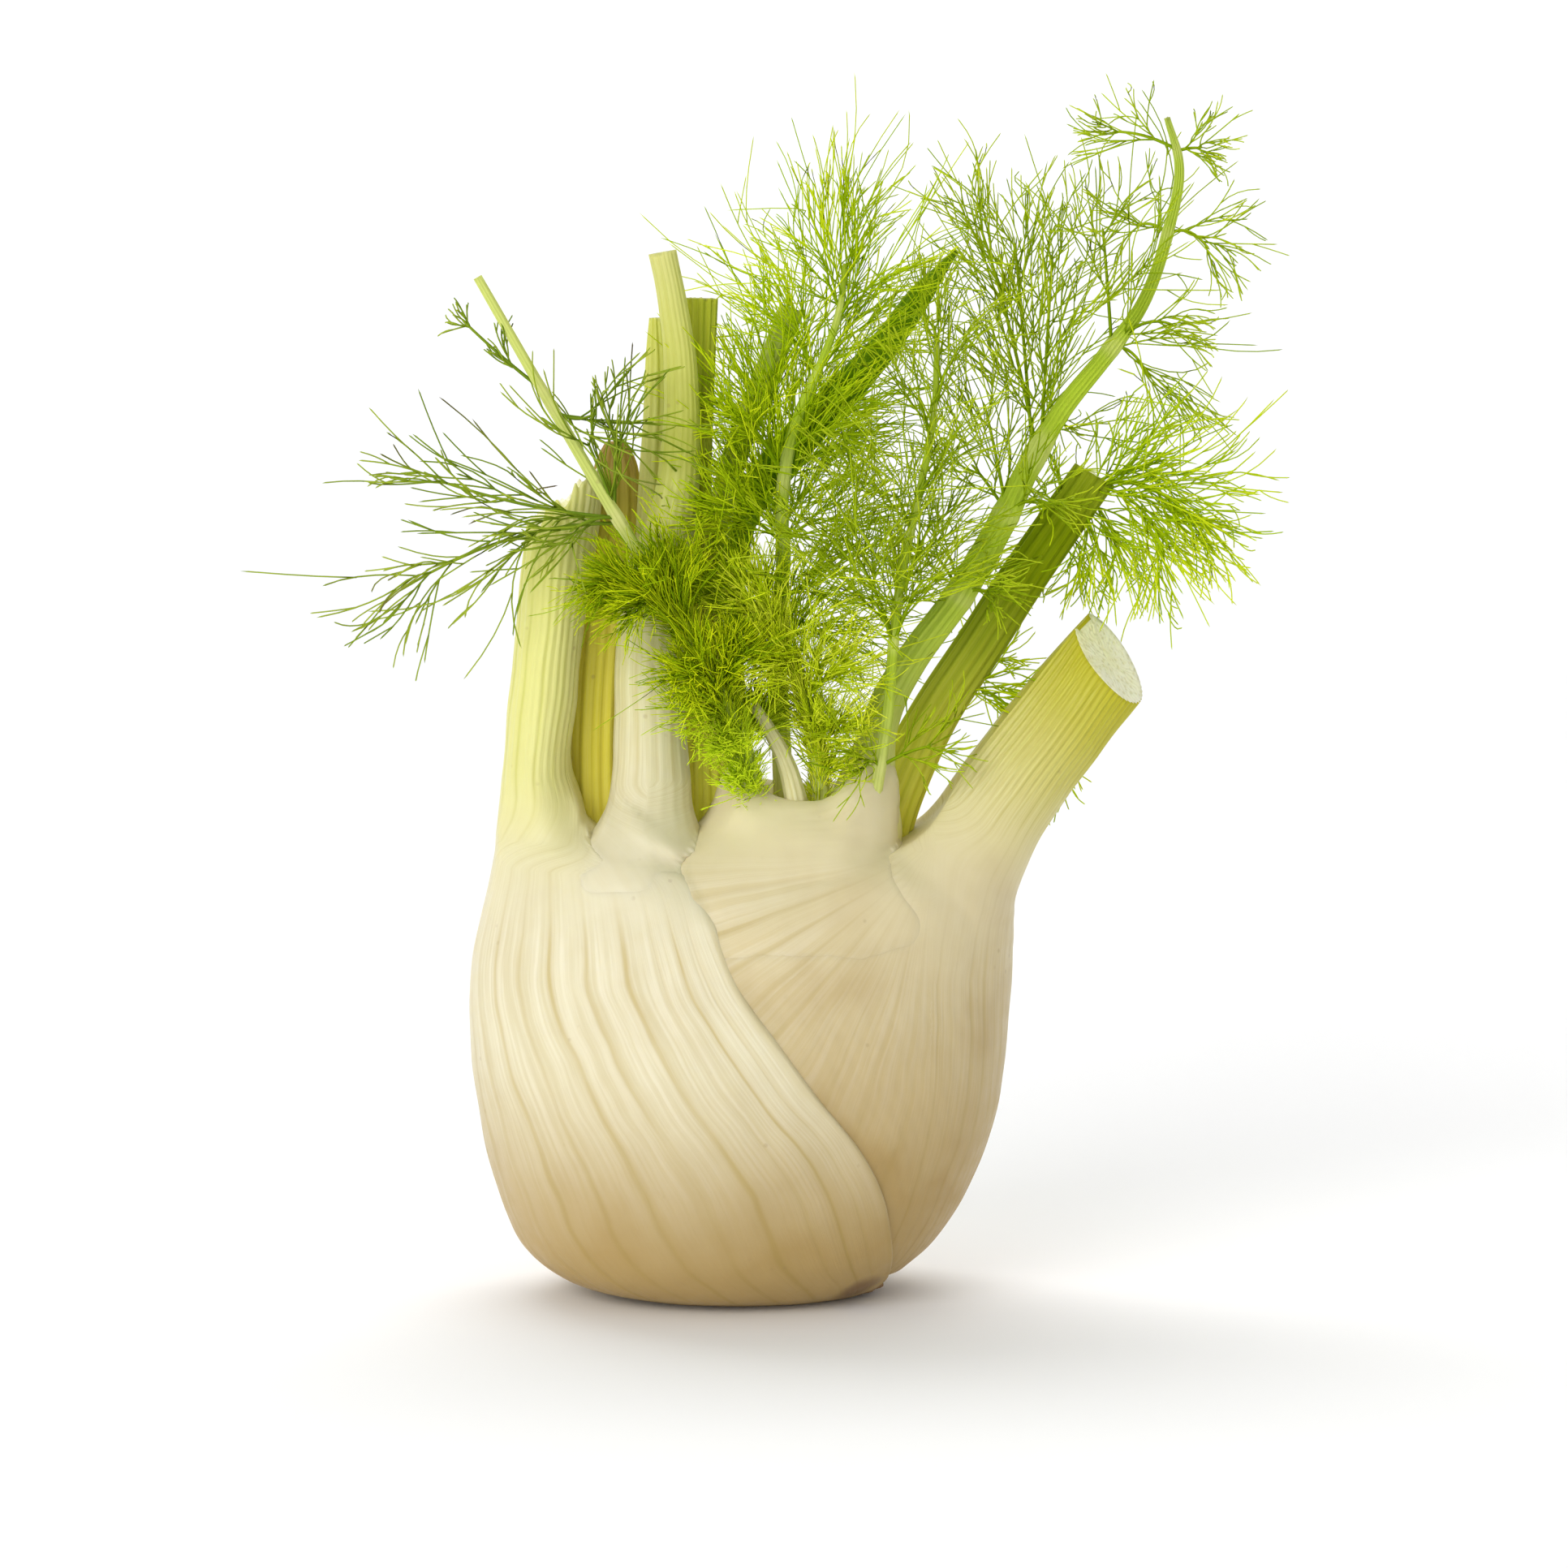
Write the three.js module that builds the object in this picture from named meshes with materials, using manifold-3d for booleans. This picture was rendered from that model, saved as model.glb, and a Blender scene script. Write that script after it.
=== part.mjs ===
// A Florence fennel bulb with its fronds, standing on its trimmed root plate.
// Millimetres, +Z up, the broad face towards -Y, the origin under the middle of the root plate.
//
// The bulb is a set of leaves that grow from the root plate. Each leaf is a thick ribbed sheath that
// narrows into a ribbed stalk, and the outer left leaf wraps over the outer right one. Between them
// stand the inner sheath, cut stalks, and leaves that still carry their feathery fronds.
import * as THREE from "three";
import { mergeVertices } from "three/addons/utils/BufferGeometryUtils.js";
import Module from "manifold-3d";

const wasm = await Module();
wasm.setup();

// Driving dimensions
const GAP = 0.34; // between two pieces that touch
const SHEATH_STEP = 0.5; // the left sheath stands this much proud of the bulb, the right one sunk by it
const THREAD_RADIUS = 0.4; // a leaf thread's corner radius at its root
const THREADS_A_WHORL = 5;
const WHORL_LENGTH = 1.3; // of the core between a whorl's two rings
const FIRST_WHORL = 0.24; // the whorls share out this much of the core and the span after it
const WHORL_SPAN = 0.68;
const CORE_RADIUS = 0.55; // a plume core's corner radius at its root
const CORE_TRIES = 9; // places tried for a core
const CORE_SHIFT = 2.5; // more to the front or the back each time
const THREAD_TRIES = 6;
const TRY_SHORTER = 0.08; // of a thread's length, each time
const THREAD_LEAN = 0.68; // radians from the core at least, and up to this much more
const LEAN_SPREAD = 0.5;
const SEEDS_A_PLUME = 97; // drawn numbers that lie between two plumes, two whorls and two tries
const SEEDS_A_RING = 13;
const SEEDS_A_TRY = 31;
const STRAND_CLEARANCE = 0.25; // between threads of two leaves
const OWN_CLEARANCE = 0.02; // between threads of one leaf

const CREAM = 0xe9e2bd;
const PALE_GREEN = 0xcfd67a;
const STALK_GREEN = 0x9cb341;
const FROND_GREEN = 0x7da329;
const YOUNG_GREEN = 0x96b82e;
const DULL_GREEN = 0x7c9447;
const ROOT_BROWN = 0xb08a5a;

const vec = (p) => new THREE.Vector3(p[0], p[1], p[2]);
const radians = THREE.MathUtils.degToRad;

// The same number between 0 and 1 each time for one whole number
function draw(n) {
  const s = Math.sin(n * 12.9898 + 4.1414) * 43758.5453;
  return s - Math.floor(s);
}

// Points and the triangles between them as a solid. Triangles that merging brings to nothing are dropped.
function skinOf(points, triangles) {
  const geometry = new THREE.BufferGeometry();
  const positions = points.flatMap((p) => [p.x, p.y, p.z]);
  geometry.setAttribute("position", new THREE.Float32BufferAttribute(positions, 3));
  geometry.setIndex(triangles.flat());
  const merged = mergeVertices(geometry, 1e-4);
  const kept = [];
  for (let i = 0; i < merged.index.count; i += 3) {
    const [a, b, c] = [0, 1, 2].map((k) => merged.index.getX(i + k));
    if (a !== b && b !== c && c !== a) kept.push(a, b, c);
  }
  return new wasm.Manifold(
    new wasm.Mesh({
      numProp: 3,
      vertProperties: merged.attributes.position.array,
      triVerts: new Uint32Array(kept),
    }),
  );
}

// A closed skin over rings of equal length, each counter-clockwise seen from the far end. A three-sided
// ring at an end is its own cap, and a last ring of no size comes to a point.
function skin(rings) {
  const points = rings.flat();
  const count = rings[0].length;
  const triangles = [];
  for (let i = 0; i + 1 < rings.length; i += 1) {
    for (let k = 0; k < count; k += 1) {
      const next = (k + 1) % count;
      const [p, q] = [i * count + k, i * count + next];
      triangles.push([p, q, p + count], [q, q + count, p + count]);
    }
  }
  const start = (rings.length - 1) * count;
  if (count === 3) {
    triangles.push([2, 1, 0], [start, start + 1, start + 2]);
  } else {
    const lowHub = points.length;
    for (const ring of [rings[0], rings.at(-1)]) points.push(middleOf(ring));
    for (let k = 0; k < count; k += 1) {
      const next = (k + 1) % count;
      triangles.push([lowHub, next, k], [lowHub + 1, start + k, start + next]);
    }
  }
  return skinOf(points, triangles);
}

const middleOf = (ring) =>
  ring.reduce((sum, p) => sum.add(p), new THREE.Vector3()).divideScalar(ring.length);

// The same rings, each pushed out from its own middle, and the two ends pushed out along the run
function grown(rings, by) {
  const hubs = rings.map(middleOf);
  return rings.map((ring, i) => {
    const end = i === 0 || i === rings.length - 1;
    const from = hubs[i === 0 ? 1 : i - 1];
    const along = end ? hubs[i].clone().sub(from).normalize().multiplyScalar(by) : new THREE.Vector3();
    return ring.map((p) => {
      const out = p.clone().sub(hubs[i]);
      return p.clone().addScaledVector(out.normalize(), by).add(along);
    });
  });
}

// The lean of each section, in radians from upright in the XZ plane, where a station doesn't give it
function leans(stations) {
  return stations.map((s, i) => {
    if (s.lean !== undefined) return radians(s.lean);
    const a = stations[Math.max(0, i - 1)];
    const b = stations[Math.min(stations.length - 1, i + 1)];
    return Math.atan2(b.x - a.x, b.z - a.z);
  });
}

// A point of an elliptical section. The angle is 0 at the front and a quarter turn at the right.
function sectionPoint(s, lean, angle, proud) {
  const across = (s.a + proud) * Math.sin(angle);
  const towards = (s.b + proud) * Math.cos(angle);
  const lift = (s.lift ?? 0) * Math.sin(angle) ** 2;
  return new THREE.Vector3(
    s.x + across * Math.cos(lean),
    s.y - towards,
    s.z - across * Math.sin(lean) + lift,
  );
}

// Rings of a whole elliptical stalk. Every other point stands out, as a rib.
function stalkRings(stations, sides, rib) {
  const lean = leans(stations);
  return stations.map((s, i) => {
    const ring = [];
    for (let k = 0; k < sides; k += 1) {
      const proud = rib * (k % 2 ? -0.5 : 0.5) * (s.ribs ?? 1);
      ring.push(sectionPoint(s, lean[i], (k / sides) * 2 * Math.PI, proud));
    }
    return ring;
  });
}

// Rings of a leaf that wraps round one side of the bulb: an arc of the outline, ribbed, from one
// margin round to the other, closed by a straight run inside. side is -1 for left and 1 for right.
function wrapRings(stations, side, arcSides, chordSides, rib) {
  const lean = leans(stations);
  return stations.map((s, i) => {
    const [low, high] =
      side < 0 ? [-180 - s.back, s.front] : [-s.front, 180 + s.back];
    const ring = [];
    for (let k = 0; k <= arcSides; k += 1) {
      const angle = radians(low + ((high - low) * k) / arcSides);
      const proud = rib * (k % 2 ? -0.5 : 0.5) * (s.ribs ?? 1) - side * SHEATH_STEP * (s.step ?? 0);
      ring.push(sectionPoint(s, lean[i], angle, proud));
    }
    const [first, last] = [ring[0], ring.at(-1)];
    for (let k = 1; k < chordSides; k += 1) {
      ring.push(last.clone().lerp(first, k / chordSides));
    }
    return ring;
  });
}

// Rings of a round stem along a smooth curve, thinning from its root to its tip
function stemRings(curve, root, tip, sides, steps, rib) {
  const frames = curve.computeFrenetFrames(steps, false);
  const rings = [];
  for (let i = 0; i <= steps; i += 1) {
    const t = i / steps;
    const centre = curve.getPointAt(t);
    const radius = root + (tip - root) * t;
    const ring = [];
    for (let k = 0; k < sides; k += 1) {
      const angle = (k / sides) * 2 * Math.PI;
      const r = radius * (1 + rib * (k % 2 ? -0.5 : 0.5));
      ring.push(
        centre
          .clone()
          .addScaledVector(frames.normals[i], r * Math.cos(angle))
          .addScaledVector(frames.binormals[i], r * Math.sin(angle)),
      );
    }
    rings.push(ring);
  }
  return rings;
}

const smooth = (points) => new THREE.CatmullRomCurve3(points.map(vec), false, "centripetal");

// Outline of the bulb by height: left edge, right edge, half depth
const OUTLINE = [
  { z: 0.6, left: -23, right: 25, depth: 17.5 },
  { z: 2.2, left: -29, right: 28, depth: 21.5 },
  { z: 5, left: -34.5, right: 32, depth: 25 },
  { z: 9, left: -38.8, right: 36.8, depth: 28 },
  { z: 15, left: -42, right: 41.3, depth: 30.5 },
  { z: 23, left: -45, right: 45.2, depth: 32.7 },
  { z: 32, left: -47.3, right: 48.6, depth: 34.2 },
  { z: 42, left: -48.6, right: 50.6, depth: 35 },
  { z: 52, left: -48.8, right: 51.4, depth: 34.8 },
  { z: 61, left: -48.1, right: 51.5, depth: 33.2 },
];

// A section of the whole outline at one height, up to the margins where a wrapping leaf ends
function bulbStation(row, front, back, step = 1, ribs = 1) {
  const x = (row.left + row.right) / 2;
  const a = (row.right - row.left) / 2;
  return { x, y: 0, z: row.z, a, b: row.depth, lean: 0, front, back, step, ribs };
}

// Where the left leaf's front and back margins cross the outline, in degrees past the middle
const LEFT_MARGINS = [
  [74, 60], [70, 58], [62, 54], [52, 48], [44, 42], [37, 36], [28, 30], [17, 24], [8, 18], [0, 12],
];
const RIGHT_REACH = 16; // the right leaf runs this many degrees on under the left one

// Stations of the outer left leaf, from the root plate to its torn top
const outerLeft = [
  ...OUTLINE.map((row, i) => bulbStation(row, ...LEFT_MARGINS[i], 1, i < 2 ? 0.2 : 1)),
  { x: 2.4, y: 0, z: 69.5, a: 49, b: 30.4, lean: 0, front: -5, back: 6, step: 1 },
  { x: 2.2, y: 0, z: 76.5, a: 47.2, b: 26.6, lean: 0, front: -9, back: 2, step: 1 },
  { x: 2, y: 0, z: 81.5, a: 46.2, b: 23.8, lean: 0, front: -18, back: -6, step: 0.8 },
  { x: 0, y: 0, z: 85.5, a: 43.9, b: 20.5, lean: 0, front: -37, back: -30, step: 0.4, ribs: 0.8 },
  { x: -34.8, y: 0, z: 90, a: 8.6, b: 13.2, lean: -4, front: 40, back: 40, ribs: 0.7 },
  { x: -36.2, y: -0.5, z: 98, a: 6.7, b: 10.4, lean: 4, front: 58, back: 58, ribs: 0.6 },
  { x: -34.9, y: -1, z: 112, a: 6.9, b: 9, lean: 6, front: 62, back: 62, ribs: 0.6 },
  { x: -33, y: -1.5, z: 128, a: 7.2, b: 8.2, lean: 5, front: 64, back: 64, ribs: 0.6 },
  { x: -31.4, y: -2, z: 140, a: 7.6, b: 7.6, lean: -14, front: 66, back: 66, ribs: 0.6 },
  { x: -30.9, y: -2.2, z: 148, a: 9.3, b: 7.1, lean: -36, front: 70, back: 70, ribs: 0.6 },
];

// Stations of the outer right leaf, from the root plate to its clean slanting cut
const outerRight = [
  ...OUTLINE.slice(2).map((row, i) =>
    bulbStation(
      row,
      RIGHT_REACH - LEFT_MARGINS[i + 2][0],
      RIGHT_REACH - LEFT_MARGINS[i + 2][1],
      1,
      i < 1 ? 0.2 : 1,
    ),
  ),
  { x: 3.2, y: 0, z: 69.5, a: 48.6, b: 30.4, lean: 3, front: 12, back: 10, step: 1 },
  { x: 14, y: 0, z: 76.5, a: 38.3, b: 26.4, lean: 11, front: 22, back: 18, step: 0.7 },
  { x: 29.5, y: 0, z: 79.6, a: 23.6, b: 20.6, lean: 20, front: 24, back: 22, step: 0.4 },
  { x: 40.6, y: 0, z: 81.8, a: 13.4, b: 14.6, lean: 33, front: 46, back: 46, ribs: 0.8 },
  { x: 46, y: 0, z: 88.8, a: 11.4, b: 10.8, lean: 40, front: 56, back: 56, ribs: 0.7 },
  { x: 53.2, y: 0, z: 99, a: 10.5, b: 9, lean: 45, front: 60, back: 60, ribs: 0.6 },
  { x: 61, y: 0, z: 109, a: 10.2, b: 8.2, lean: 50, front: 62, back: 62, ribs: 0.6 },
  { x: 69, y: 0, z: 118.7, a: 10.1, b: 7.8, lean: 53, front: 64, back: 64, ribs: 0.6 },
];

// Stations of the inner sheath: a core up from the root plate that opens into a saddle-shaped collar
const innerSheath = [
  { x: 3, y: 0, z: 5.4, a: 11, b: 9, lean: 0, ribs: 0 },
  { x: 6.5, y: 0, z: 48, a: 17, b: 16, lean: 0, ribs: 0 },
  { x: 11.3, y: 0, z: 71, a: 23, b: 23, lean: 0, ribs: 0 },
  { x: 12.2, y: 0, z: 78.5, a: 22.8, b: 22.6, lean: 0 },
  { x: 12.7, y: 0, z: 85, a: 20.4, b: 19.6, lean: 0 },
  { x: 12.9, y: 0, z: 90, a: 17.8, b: 15.8, lean: 0, lift: 1 },
  { x: 13, y: 0, z: 92.6, a: 14.6, b: 11.6, lean: 0, lift: 2.6 },
  { x: 13, y: 0, z: 92.4, a: 11.4, b: 8, lean: 0, lift: 1.8 },
  { x: 13, y: 0, z: 89.5, a: 7.5, b: 4.6, lean: 0, ribs: 0 },
];

const rootPlate = [
  { x: 2, y: 0, z: 0, a: 21, b: 14.5, lean: 0, ribs: 0.4 },
  { x: 2.6, y: 0, z: 1.6, a: 24.2, b: 16, lean: 0, ribs: 1 },
  { x: 2.8, y: 0, z: 3.4, a: 24.6, b: 15.5, lean: 0, ribs: 1 },
  { x: 2.5, y: 0, z: 5, a: 18, b: 12, lean: 0, ribs: 0.4 },
];

// The cut stalks between the two outer leaves
const middleStalk = [
  { x: -14.5, y: -6.5, z: 64, a: 8, b: 11, lean: 0, ribs: 0 },
  { x: -16, y: -6.5, z: 78, a: 10.3, b: 14, lean: 0 },
  { x: -16.4, y: -6.3, z: 84, a: 9.8, b: 12.6, lean: 0 },
  { x: -15.6, y: -5.8, z: 90.5, a: 7.8, b: 9.2, lean: 0 },
  { x: -15.1, y: -5, z: 97.5, a: 6.9, b: 6.9 },
  { x: -15.4, y: -4.5, z: 106, a: 6.5, b: 5.7 },
  { x: -15.2, y: -4, z: 120, a: 6.2, b: 5 },
  { x: -13.7, y: -4, z: 135, a: 5.8, b: 4.5 },
  { x: -10.8, y: -4, z: 146, a: 4.4, b: 3.7 },
  { x: -9.5, y: -4, z: 157, a: 3.6, b: 3.1 },
  { x: -9.7, y: -4, z: 170, a: 3.1, b: 2.7 },
  { x: -11.2, y: -4.1, z: 183, a: 2.7, b: 2.3 },
  { x: -13, y: -4.4, z: 193.2, a: 2.6, b: 2.1 },
];
const middleStalkLeft = [
  { x: -13.5, y: 4.4, z: 78, a: 2.8, b: 2.7 },
  { x: -14.6, y: 4.7, z: 100, a: 2.9, b: 2.7 },
  { x: -15.4, y: 4.6, z: 120, a: 3, b: 2.6 },
  { x: -15.6, y: 4.1, z: 135, a: 2.9, b: 2.4 },
  { x: -15.1, y: 3.4, z: 148, a: 2.7, b: 2.2 },
  { x: -14.3, y: 2.6, z: 163, a: 2.4, b: 1.9 },
  { x: -14.2, y: 2.2, z: 175, a: 1.9, b: 1.6 },
  { x: -14.4, y: 2.1, z: 181, a: 1.1, b: 1 },
];
const middleStalkRight = [
  { x: -5, y: 4.6, z: 80, a: 3.4, b: 3.2 },
  { x: -5.2, y: 4.8, z: 98, a: 3.6, b: 3.1 },
  { x: -6, y: 4.7, z: 120, a: 3.4, b: 2.9 },
  { x: -6.9, y: 4.2, z: 136, a: 3, b: 2.6 },
  { x: -7.1, y: 3.9, z: 150, a: 2.7, b: 2.4 },
  { x: -6.4, y: 3.7, z: 168, a: 2.5, b: 2.2 },
  { x: -5.9, y: 3.5, z: 184.5, a: 2.7, b: 2 },
];
const oliveStalk = [
  { x: -22.5, y: 6.8, z: 76, a: 4.6, b: 5.4 },
  { x: -25.2, y: 7, z: 88, a: 5.2, b: 5.8 },
  { x: -25.6, y: 7, z: 98, a: 5.2, b: 5.2 },
  { x: -24.6, y: 7, z: 120, a: 5.1, b: 4.8 },
  { x: -22.9, y: 7, z: 136, a: 4.9, b: 4.3 },
  { x: -21.9, y: 7, z: 149, a: 4.5, b: 3.8 },
  { x: -21.9, y: 7, z: 155, a: 3.3, b: 3 },
  { x: -22, y: 7, z: 158, a: 1.6, b: 1.6 },
];
const tallStalk = [
  { x: 22.4, y: -2.6, z: 77, a: 6.5, b: 7.5, lean: 0, ribs: 0 },
  { x: 23.2, y: -2.8, z: 86, a: 7.6, b: 8.4, lean: 0, ribs: 0.4 },
  { x: 24, y: -2.6, z: 92, a: 6.4, b: 7 },
  { x: 25, y: -2, z: 98, a: 4.7, b: 5.2 },
  { x: 26.3, y: -1.4, z: 104, a: 3.9, b: 4.1 },
  { x: 28.3, y: -0.8, z: 110.5, a: 3.5, b: 3.6 },
  { x: 32.6, y: 0, z: 118, a: 3.2, b: 3.2 },
  { x: 41.2, y: 1, z: 129.7, a: 2.9, b: 2.8 },
  { x: 49.3, y: 2, z: 143.5, a: 2.7, b: 2.5 },
  { x: 54.2, y: 3, z: 153.5, a: 2.3, b: 2.1 },
  { x: 59.6, y: 3, z: 163, a: 1.9, b: 1.8 },
  { x: 69, y: 3, z: 175, a: 1.6, b: 1.5 },
  { x: 74.4, y: 3, z: 182.5, a: 1.3, b: 1.2 },
  { x: 79.4, y: 2, z: 196.5, a: 1, b: 1 },
  { x: 81.2, y: 0, z: 209.5, a: 0.8, b: 0.8 },
  { x: 78.9, y: -1, z: 217.5, a: 0.5, b: 0.5 },
];
const greenStalk = [
  { x: 27, y: 7.5, z: 79, a: 4.4, b: 5 },
  { x: 28.8, y: 7.8, z: 88, a: 4.8, b: 4.8 },
  { x: 31.6, y: 8.2, z: 96.5, a: 4.6, b: 4.3 },
  { x: 37.6, y: 8.8, z: 108, a: 4.4, b: 4 },
  { x: 45.5, y: 9.6, z: 120, a: 4.3, b: 3.8 },
  { x: 53.6, y: 10.4, z: 132.6, a: 4.2, b: 3.6 },
  { x: 60.8, y: 11.2, z: 143, a: 4.1, b: 3.4 },
  { x: 66.8, y: 11.8, z: 151.6, a: 4, b: 3.2, lean: 30 },
];

// Round stems: the route, the radius at the root and at the tip
const rearStalkLeft = {
  route: [
    [-0.5, 10.4, 84], [-3.2, 11, 105], [-4.2, 11, 124], [-3.4, 11, 140], [0, 11.2, 155],
    [5, 11.7, 168], [10.6, 12.4, 182.4],
  ],
  root: 2.5,
  tip: 2.3,
};
const rearStalkRight = {
  route: [
    [4, 15, 84], [-0.6, 17, 105], [-1.6, 17.4, 124], [1.5, 17.4, 144], [8.2, 17.8, 153.5],
    [17.4, 18.2, 163.5], [27.8, 18.6, 175], [36, 19, 186], [41.2, 19.4, 192.5],
  ],
  root: 2.6,
  tip: 0.7,
};
const spikeStem = {
  route: [
    [12.5, -7.5, 86], [11.4, -9.4, 93], [9.6, -10.6, 100], [7, -11.2, 105.5], [3.6, -11.4, 111],
  ],
  root: 2.4,
  tip: 0.9,
};
const centralStem = {
  route: [
    [9.4, 2, 86], [8.6, 1.4, 104], [8, 0.6, 124], [9, 0, 136], [8.8, 0, 146], [9.4, -0.4, 153.5],
    [12, -1, 164], [16, -1.2, 173], [19.2, -1, 182], [20.4, -0.6, 191],
  ],
  root: 1.9,
  tip: 0.5,
};
const youngFrontStem = {
  route: [
    [3.8, -6, 87], [3, -10, 95], [0, -14.5, 105], [-5, -17.5, 115], [-11, -19.5, 124.5],
    [-17, -20.5, 132], [-24.5, -21, 135.5],
  ],
  root: 2.1,
  tip: 0.6,
};
const youngHeartStem = {
  route: [
    [15.6, -3.4, 87.5], [15.6, -6.4, 99], [14.4, -8.6, 108.5], [11, -10.6, 117.5],
    [6.8, -12, 126.5],
  ],
  root: 2,
  tip: 0.6,
};
const slenderStem = {
  route: [
    [25.4, -9.6, 91], [26.6, -10.4, 99], [28.2, -10.6, 110], [29, -10.8, 121.5], [30.6, -11, 135],
    [33.8, -11, 150], [36.4, -11, 165], [36.8, -11, 177],
  ],
  root: 1.15,
  tip: 0.45,
};
const wispyStem = {
  route: [
    [5.4, -1.8, 86.5], [3, -7, 99], [-1.4, -10.2, 111], [-10, -12.4, 127.5], [-18, -13.4, 140.2],
    [-30.8, -14, 162], [-46.2, -14, 189],
  ],
  root: 1.5,
  tip: 0.8,
};
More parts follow.
